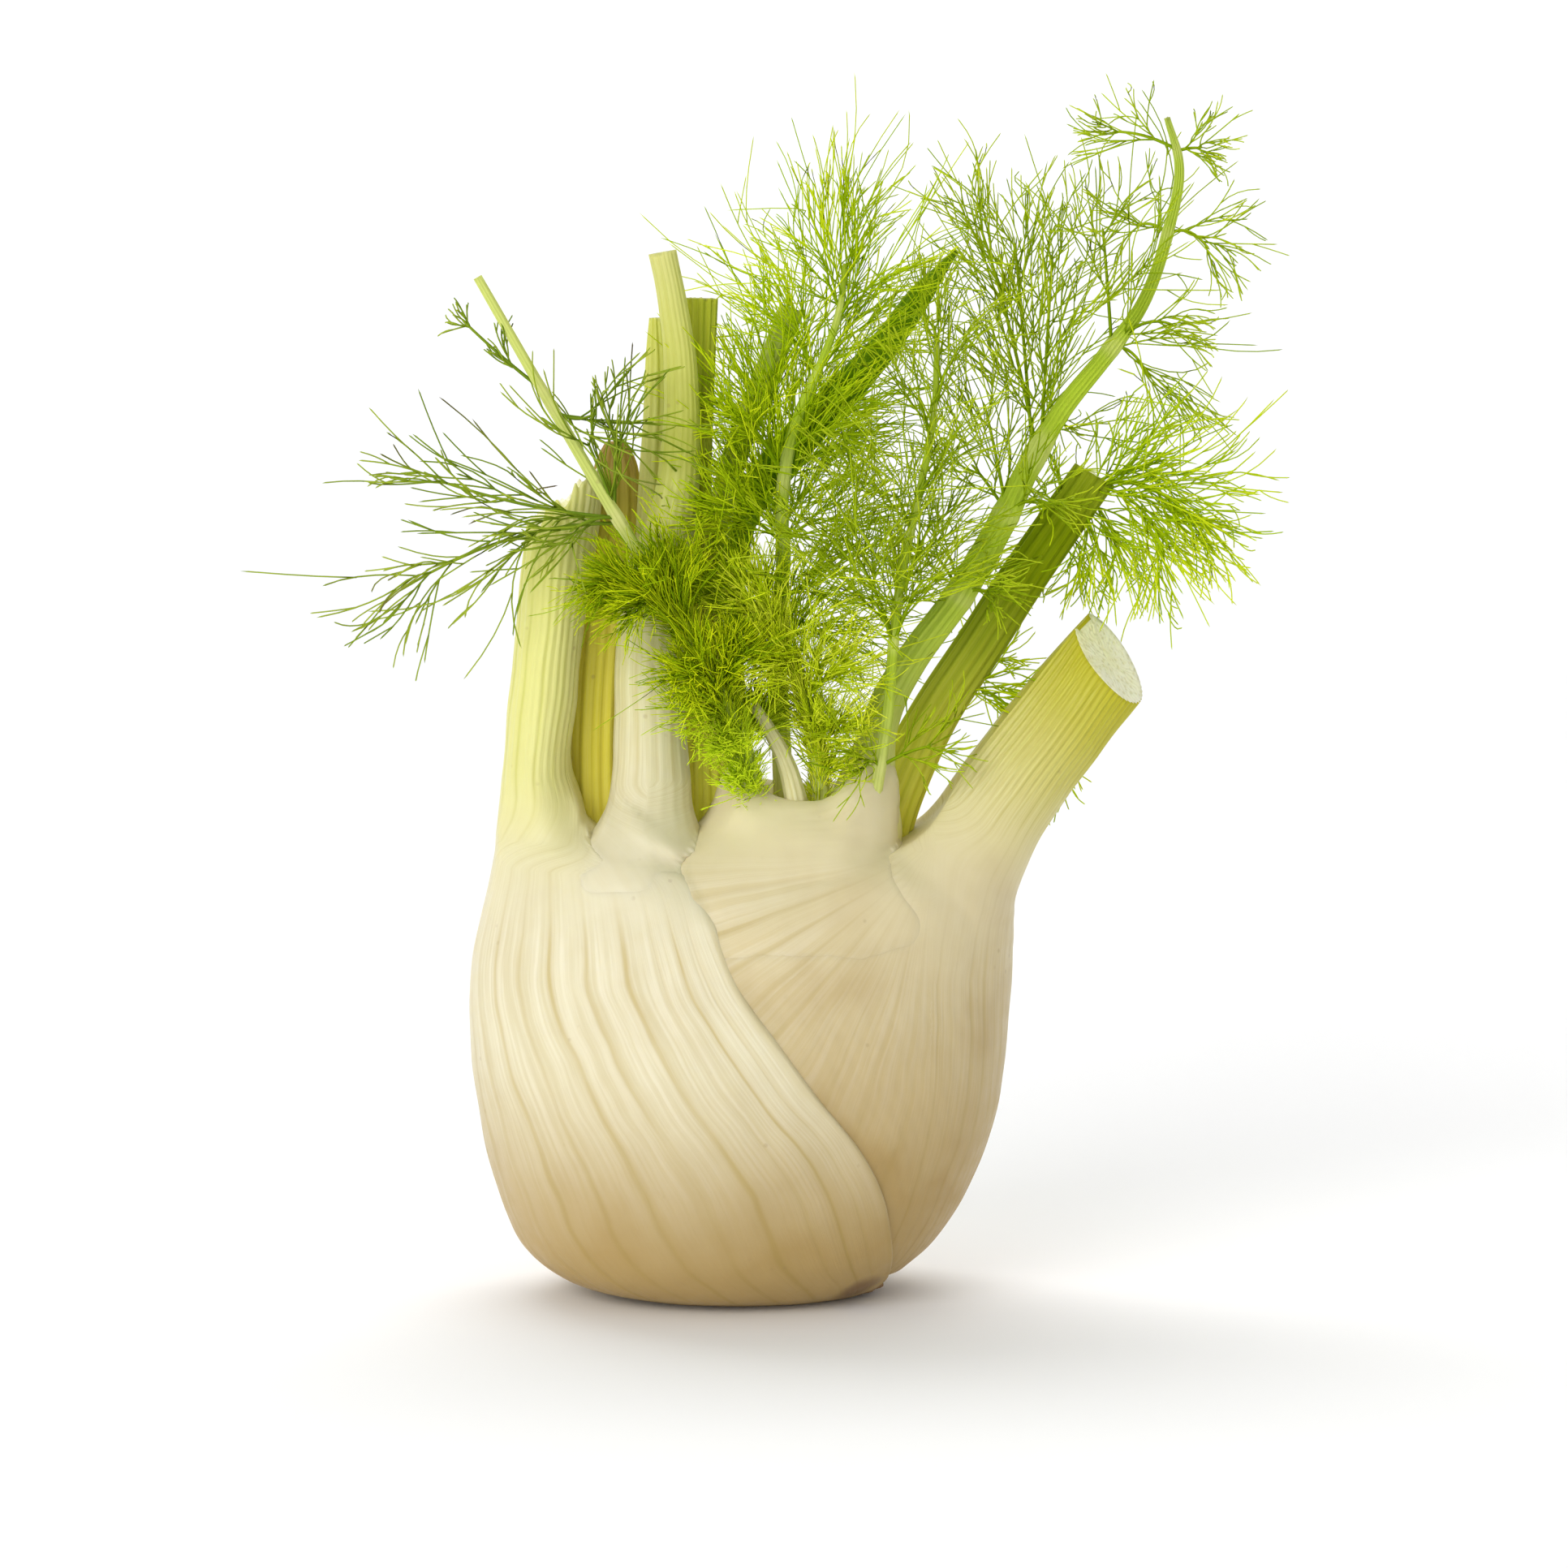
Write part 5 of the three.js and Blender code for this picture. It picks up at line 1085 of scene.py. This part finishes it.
def make_forms(finish):
    """Shapes every leaf base and stalk, softens them into each other, and makes the pieces."""
    lofts = shape_bulb()
    stalks, middles = shape_stalks()
    lofts.update(stalks)
    rest_on(lofts["middle_stalk"], lofts["outer_left_leaf"])
    soften(lofts, MEETINGS)
    even_out(lofts, ["outer_left_leaf", "middle_stalk"], left_shoulder, SHOULDER_TIMES)
    pieces = [
        # name, finish, finish of the far end, slot, how deep the far end is dished and how rough it is
        ("outer_left_leaf", "left_leaf_base", "pale_cut_face", "leaf_base_skin", 1.5, 0.5),
        ("outer_right_leaf", "right_leaf_base", "pale_cut_face", "leaf_base_skin", 0.5, 0.15),
        ("inner_sheath", "inner_leaf_base", "inner_leaf_base", "leaf_base_skin", 0.6, 0.1),
        ("root_plate", "root_scar", "root_scar", "root_scar", 0.0, 0.0),
    ]
    for table, dish, grain in ((STALKS, 0.4, 0.18), (STEMS, 0.2, 0.05)):
        pieces += [(name, skin, cut, slot, dish, grain) for name, (*_, skin, cut, _, slot) in table.items()]
    for name, skin, cut, slot, dish, grain in pieces:
        nodes = [] if name in PLUMES else [name]
        lofts[name].build(name + "_form", [finish[skin], finish[cut]], slot, nodes, dish, grain)
    return middles


# Fronds

# A plume's usual branches: how much they lean, and the radii of a branch and of its core
STYLE = dict(lean=1.0, twig=0.24, core=0.45)
# name: finish, slot, style, and the plumes: share along the stem, tip, arch, reach of the threads. The style
# is the gap between pairs of branches, their length as a share of the reach, and the threads on each.
PLUMES = {
    "tall_leaf": ("frond_threads", "frond_green", dict(gap=8, branch=0.95, threads=6, radius=0.165), [
        (0.37, 31, 4, 146, 3, 11), (0.37, 54, -9, 131, 4, 9), (0.48, 37, 7, 163, 2, 13),
        (0.48, 43, -5, 178, 3, 14), (0.48, 65, -10, 149, 6, 10), (0.55, 50, 6, 211, 4, 17),
        (0.56, 41, -3, 212, 8, 15), (0.57, 59, 0, 208, 2, 16), (0.58, 64, 14, 166, 5, 11),
        (0.71, 66, -4, 211, 4, 15), (0.72, 91, -5, 183, 8, 13), (0.71, 84, 7, 164, 9, 14),
        (0.86, 68, 8, 199, 4, 11), (0.86, 95, 2, 190.5, 8, 10), (0.96, 61, -4, 217, 3, 9),
        (0.96, 90, 1, 212.5, 1, 7),
    ]),
    "green_leaf": ("bright_frond_threads", "frond_green",
                   dict(gap=4.4, branch=0.95, threads=6, radius=0.18), [
        (0.95, 98, -1, 140, 14, 15), (0.95, 91, 4, 130, 16, 13), (0.94, 86, 10, 156.5, 6, 11),
        (0.93, 72, 2, 125.5, 7, 13), (0.9, 61, 17, 126.5, 4, 11), (0.9, 54, 5, 149, 3, 8),
        (0.93, 78, 17, 133, 10, 12), (0.42, 66, 18, 91, 16, 10), (0.44, 53, 18, 123, 1, 10),
    ]),
    "central_leaf": ("bright_frond_threads", "frond_green",
                     dict(gap=3.0, branch=1.25, threads=9, radius=0.15, lean=0.85), [
        (0.36, -20.5, -15, 139, 5, 8), (0.4, -9, 6, 139, 4, 8), (0.5, -9.5, -10, 150, 5, 8),
        (0.55, -4, 6, 157, 4, 7), (0.61, -2, -6, 168, 5, 7), (0.62, 3, 7, 178, 4, 12),
        (0.92, 13, -4, 196, 1, 12), (0.93, 20.5, 2, 198.5, 0, 12), (0.9, 27.5, -3, 194, 1, 12),
        (0.8, 28, 6, 186, 2, 12), (0.8, 6, 3, 188, 2, 12), (0.66, 26, -8, 166, 4, 12),
        (0.6, 24, 9, 163, 4, 11), (0.5, 24, 6, 149, 4, 11), (0.4, 22, -6, 137, 4, 11),
        (0.34, 22, 8, 127, 4, 11), (0.24, -1, 7, 127, 3, 8), (0.32, 3, -5, 136, 2, 8),
        (0.3, 15, -4, 129, 3, 8), (0.48, 10, 21, 151, 5, 11), (0.64, 16, 19, 172, 4, 11),
    ]),
    "young_front_leaf": ("young_frond_threads", "young_frond_green",
                         dict(gap=0.55, branch=1.15, threads=8, radius=0.11, fuzz=440, lean=0.7, twig=0.15,
                              core=0.35), [
        (0.995, -24, -22, 134, 0, 6), (0.85, -20, -25, 130, 2, 6), (0.7, -14, -17, 140, 2, 6),
        (0.55, -10.5, -25, 120, 3, 7), (0.4, -6.5, -22, 113, 3, 6), (0.24, -2, -21, 107, 2, 5),
        (0.12, 0.5, -16, 100.5, 1, 3.5), (0.5, 1.5, -22, 125, 3, 6), (0.3, 6, -3, 112, 2, 6),
    ]),
    "young_heart_leaf": ("pale_frond_threads", "young_frond_green",
                         dict(gap=0.6, branch=1.2, threads=7, radius=0.12, fuzz=420, lean=0.9, twig=0.15,
                              core=0.35), [
        (0.99, 3, -14, 132, 1, 8), (0.75, 5, -19, 121, 3, 7), (0.6, 19, -16, 121, 2, 8),
        (0.35, 20.5, -14, 110, 2, 6), (0.2, 18.5, -9, 101, 2, 4), (0.4, 13, -9, 110, 2, 4),
    ]),
    "slender_leaf": ("frond_threads", "frond_green", dict(gap=5, branch=1.25, threads=7, radius=0.15), [
        (0.995, 35.5, -12, 184, 0, 10), (0.86, 40.5, -14, 180, 1, 11), (0.8, 31, -15, 175, 2, 11),
        (0.66, 41, -17, 163, 2, 11), (0.6, 25.5, -20, 158, 3, 12), (0.37, 15.5, -20, 152, 5, 13),
        (0.36, 38, -21, 143, 4, 11), (0.36, 21, -25, 139, 4, 11), (0.36, 33, -4, 138, 3, 9),
        (0.45, 40, -6, 153, 3, 10), (0.1, 42, -12, 106, 2, 7), (0.1, 20.5, -20, 102, 3, 7),
    ]),
    "wispy_leaf": ("dull_frond_threads", "dull_frond_green",
                   dict(gap=11, branch=1.2, threads=4, radius=0.2, lean=0.8), [
        (0.56, -73, -17, 128, 9, 13), (0.57, -64, -19, 155, -3, 11), (0.57, -30.3, -17, 169.5, 1, 12),
        (0.58, -21.4, -12, 170, -1, 9), (0.77, -17, -15, 163.5, -6, 12), (0.57, -38, -24, 141, 4, 11),
        (0.8, -52, -15, 184, -1, 4),
    ]),
}
FUZZ_LENGTH = 8.0
SIDES = 3  # of a strand
STRAND_BODY = 0.95  # the share of a strand that is a tube, before it comes to its point
PLUME_TRIM = 0.9  # a plume's core ends this share of its threads' reach before the plume's tip
SHORTEST_CORE = 0.5
CORE_TIP = 0.3
FROND_DEPTH = 30.0  # the fronds are flattened by the press share beyond this far to the front and back
FROND_PRESS = 0.5
VARIED = 0.5  # how much a strand's length and lean are spread, as a share of their own size
BOWED = 1.1  # how far its bend and its tip are spread, as a share of its length
CURLED = 0.5
LEAF_SEEDS, PLUME_SEEDS = 1000, 1531  # numbers of draws between two leaves and between two plumes
FUZZ_SEED, THREAD_SEED, FORK_SEED = 71, 307, 977


class Strands:
    """Many bent strands as arrays: root, middle and tip of a quadratic curve, root and tip radius, and
    where they lie between the plume's root, 0, and its furthest threads, 1."""

    def __init__(self, root, middle, tip, radii=(0, 0), marks=(0, 0)):
        self.root, self.middle, self.tip = root, middle, tip
        self.thick, self.thin = radii
        self.low, self.high = marks

    def at(self, t):
        """Points at shares t along the curves, with the way the curves run there."""
        t = t[..., None]
        place = (1 - t) ** 2 * self.root + 2 * t * (1 - t) * self.middle + t**2 * self.tip
        way = 2 * (1 - t) * (self.middle - self.root) + 2 * t * (self.tip - self.middle)
        return place, unit(way)

    def lengths(self):
        to_middle, to_tip = self.middle - self.root, self.tip - self.middle
        return np.linalg.norm(to_middle, axis=1) + np.linalg.norm(to_tip, axis=1)


def frame_of(way):
    """Two directions square to each way and to each other, the second towards the back or front."""
    aside = np.where(np.abs(way[..., 1:2]) > 0.8, [1.0, 0.0, 0.0], [0.0, 1.0, 0.0])
    across = unit(np.cross(aside, way))
    return across, np.cross(way, across)


def sprouted(parents, per, span, lean, length, radii, marks, seed, flat, shorter=0.6, loose=0.15):
    """Side strands on every parent, in pairs on either side, each leaning forward and curving on.

    Each sits at an even share of the span, moved a little by a seeded draw. Its side is turned about
    the parent by up to flat turns, and its length falls towards the parent's tip, where less of the
    parent is left. A loose draw moves each of a pair on its own."""
    count = len(parents.root)
    j = np.tile(np.arange(per), count)
    ids = seed + np.arange(count * per)
    apart = 0.7 * (span[1] - span[0]) / max(per / 2, 1)
    share = span[0] + (span[1] - span[0]) * ((j // 2 * 2 + 1) / per)
    share = np.clip(share + about(ids // 2, 0.4, apart) + about(ids, 0, apart * loose), 0.02, 0.985)
    owner = np.repeat(np.arange(count), per)
    place, way = Strands(parents.root[owner], parents.middle[owner], parents.tip[owner]).at(share)
    across, deep = frame_of(way)
    roll = (j % 2 * math.pi + about(ids, 11.5, 2 * math.pi * flat))[:, None]
    out = across * np.cos(roll) + deep * np.sin(roll)
    tilt = np.radians(lean * (1 + about(ids, 23.7, VARIED)))[:, None]
    heading = way * np.cos(tilt) + out * np.sin(tilt)
    size = (length[owner] * (1 + about(ids, 37.1, VARIED)) * (1.05 - shorter * share))[:, None]
    bow, swing = (size * about(ids, offset, BOWED)[:, None] for offset in (5.3, 71.3))
    curl = size * about(ids, 61.9, CURLED)[:, None]
    middle = place + heading * size * 0.52 + deep * bow
    tip = place + heading * size * 0.82 + way * size * 0.24 + deep * curl + out * swing
    return Strands(place, middle, tip, radii, marks)


def strand_mesh(strands, steps):
    """Tubes round strands: three-sided rings square to each curve, thinning to a point at the tip and
    closed by one face at the root. Gives points, triangles and the along and tone marks."""
    count = len(strands.root)
    t = np.linspace(0, STRAND_BODY, steps)
    place, way = (np.stack(found, 1) for found in zip(*[strands.at(np.full(count, x)) for x in t]))
    across, deep = frame_of(way)
    radius = (strands.thick + (strands.thin - strands.thick) * t)[:, None, None]
    turn = (np.arange(SIDES) / SIDES * 2 * math.pi)[:, None]
    ring = place[:, :, None] + radius * (np.cos(turn) * across[:, :, None] + np.sin(turn) * deep[:, :, None])
    points = np.concatenate([ring.reshape(count, -1, 3), strands.tip[:, None]], 1)
    ids = np.arange(steps * SIDES).reshape(steps, SIDES)
    top = np.stack([ids[-1], np.roll(ids[-1], -1), np.full(SIDES, steps * SIDES)], 1)
    faces = np.concatenate([[(0, 2, 1)], strips(ids), top])
    faces = (faces[None] + (np.arange(count) * points.shape[1])[:, None, None]).reshape(-1, 3)
    along = strands.low + (strands.high - strands.low) * np.append(np.repeat(t, SIDES), 1.0)
    tone = np.repeat(draw(np.arange(count) * 3.1 + 0.7), points.shape[1])
    return points.reshape(-1, 3), faces, np.tile(along, count), tone


def plume_strands(name, line, seed):
    """A leaf's strands, each set with its number of rings: a core from the stem to each plume's tip,
    then a young leaf's fuzz, then branches in pairs along each core, threads along those, and a short
    fork on each thread."""
    _, _, style, plumes = PLUMES[name]
    style = {**STYLE, **style}
    rows = np.array(plumes, float)
    tip, arch, reach = rows[:, 1:4], rows[:, 4], rows[:, 5]
    knots = distances(line)
    root = through(knots, line, rows[:, 0] * knots[-1])
    kept = np.maximum(SHORTEST_CORE, 1 - PLUME_TRIM * reach / np.linalg.norm(tip - root, axis=1))
    tip = root + (tip - root) * kept[:, None]
    middle = (root + tip) / 2 + (arch * kept)[:, None] * [0, 0, 1]
    thin, lean = style["radius"], style["lean"]
    sets = [(Strands(root, middle, tip, (style["core"], CORE_TIP), (0.0, 0.4)), 10)]
    if "fuzz" in style:
        runs = Strands(line[:-1], (line[:-1] + line[1:]) / 2, line[1:])
        long = np.linspace(0.65, 1.0, len(line) - 1) * FUZZ_LENGTH
        fuzz = sprouted(runs, style["fuzz"], (0, 1), 28, long, (thin, thin * 0.7), (0.7, 1.0),
                        seed + FUZZ_SEED, 1.0, 0.2, 1.0)
        sets.append((fuzz, 5))
    for p in range(len(plumes)):
        core = Strands(root[p:p + 1], middle[p:p + 1], tip[p:p + 1])
        pairs = int(np.clip(core.lengths()[0] / style["gap"], 2, 40))
        first = seed + PLUME_SEEDS * p
        branch = sprouted(core, pairs * 2, (0.06, 1.0), 36 * lean, reach[p:p + 1] * style["branch"],
                          (style["twig"], thin), (0.2, 0.6), first, 0.34, 0.45)
        thread = sprouted(branch, style["threads"], (0.1, 0.8), 27 * lean, branch.lengths() * 1.1,
                          (thin, thin * 0.9), (0.4, 0.9), first + THREAD_SEED, 0.4, 0.6)
        fork = sprouted(thread, 1, (0.1, 0.6), 22 * lean, thread.lengths() * 0.9,
                        (thin * 0.9, thin * 0.8), (0.55, 1.0), first + FORK_SEED, 0.5, 0.85)
        sets += [(branch, 6), (thread, 6), (fork, 5)]
    return sets


def grow_fronds(finish, middles):
    """Each leaf's plumes as one piece, flattened a little where they reach far to the front or back."""
    for index, (name, (skin, slot, *_)) in enumerate(PLUMES.items()):
        sets = plume_strands(name, middles[name], LEAF_SEEDS * (index + 1))
        points, faces, along, tone = zip(*[strand_mesh(*found) for found in sets])
        starts = np.append(0, np.cumsum([len(found) for found in points])[:-1])
        faces = np.concatenate([found + start for found, start in zip(faces, starts)])
        points, along, tone = (np.concatenate(found) for found in (points, along, tone))
        over = np.maximum(np.abs(points[:, 1]) - FROND_DEPTH, 0)
        points[:, 1] -= np.sign(points[:, 1]) * over * FROND_PRESS
        uv = np.stack([tone, along], 1)
        marks = {"along": along, "tone": tone}
        mesh_piece(name + "_threads", points, faces, uv, marks, [finish[skin]], [name])


# Stage

FLOOR_HALF_WIDTH, FLOOR_FRONT, SWEEP_START, SWEEP_RADIUS, WALL_TOP = 2.5, -2.2, 0.9, 0.9, 3.0  # metres
FLOOR_DROP = 0.0002  # metres below the root plate


def make_floor():
    """A pale floor that sweeps up by a quarter circle into an upright backdrop."""
    turn = np.linspace(0, math.pi / 2, 24)
    sweep = SWEEP_START + SWEEP_RADIUS * np.sin(turn)
    y = np.concatenate([[FLOOR_FRONT], sweep, [SWEEP_START + SWEEP_RADIUS]])
    z = np.concatenate([[0], SWEEP_RADIUS * (1 - np.cos(turn)), [WALL_TOP]]) - FLOOR_DROP
    x = np.tile([-FLOOR_HALF_WIDTH, FLOOR_HALF_WIDTH], len(y))
    points = np.stack([x, np.repeat(y, 2), np.repeat(z, 2)], 1)
    faces = [(i, i + 1, i + 3, i + 2) for i in range(0, len(points) - 2, 2)]
    mesh = bpy.data.meshes.new("studio_sweep")
    mesh.from_pydata(points.tolist(), [], faces)
    mesh.polygons.foreach_set("use_smooth", np.ones(len(faces), bool))
    material, g, skin = new_material("pale_floor", 0.9, shine=0.5)
    g.set(skin["Base Color"], (0.93, 0.93, 0.93))
    mesh.materials.append(material)
    floor = add_object("studio_sweep", mesh)


def add_light(name, kind, side, place=(0, 0, 0), **settings):
    """A light that shines from the given side."""
    data = bpy.data.lights.new(name, kind)
    for key, value in settings.items():
        setattr(data, key, value)
    light = add_object(name, data)
    light.location = place
    light.rotation_euler = Vector(side).to_track_quat("Z", "Y").to_euler()


def make_stage():
    """The floor, an even white sky, a broad soft sun from above and behind, a weaker one from the front
    left, and a light on the backdrop alone."""
    make_floor()
    world = bpy.data.worlds.new("pale_sky")
    bpy.context.scene.world = world
    world.use_nodes = True
    sky = world.node_tree.nodes["Background"].inputs
    sky["Color"].default_value = (1, 1, 1, 1)
    sky["Strength"].default_value = 0.5
    add_light("top_light", "SUN", (-0.12, 0.72, 1.0), angle=math.radians(55), energy=2.7)
    add_light("front_light", "SUN", (-0.6, -1.0, 0.5), angle=math.radians(40), energy=1.5)
    add_light("wall_light", "AREA", (0, -1.0, 0.8), (0, 0.8, 1.5), shape="RECTANGLE", size=3.0, size_y=1.0,
              energy=6.0)


CAMERA_AIM = Vector((9.15 * MM, 0, 95.1 * MM))
CAMERA_RISE = math.radians(7.0)  # above level
LENS, SENSOR = 135.0, 36.0
FIELD = 289.8 * MM  # the photograph's width at the bulb


def make_camera():
    """A long lens in front of the bulb, a little above level, whose frame holds the field's width."""
    data = bpy.data.cameras.new("camera")
    data.lens = LENS
    data.sensor_width = SENSOR
    camera = add_object("camera", data)
    away = Vector((0, -math.cos(CAMERA_RISE), math.sin(CAMERA_RISE)))
    camera.location = CAMERA_AIM + away * FIELD * LENS / SENSOR
    camera.rotation_euler = away.to_track_quat("Z", "Y").to_euler()
    bpy.context.scene.camera = camera


make_camera()
make_stage()
finishes = make_materials()
stem_lines = make_forms(finishes)
grow_fronds(finishes, stem_lines)
bpy.context.scene.view_settings.view_transform = "Standard"
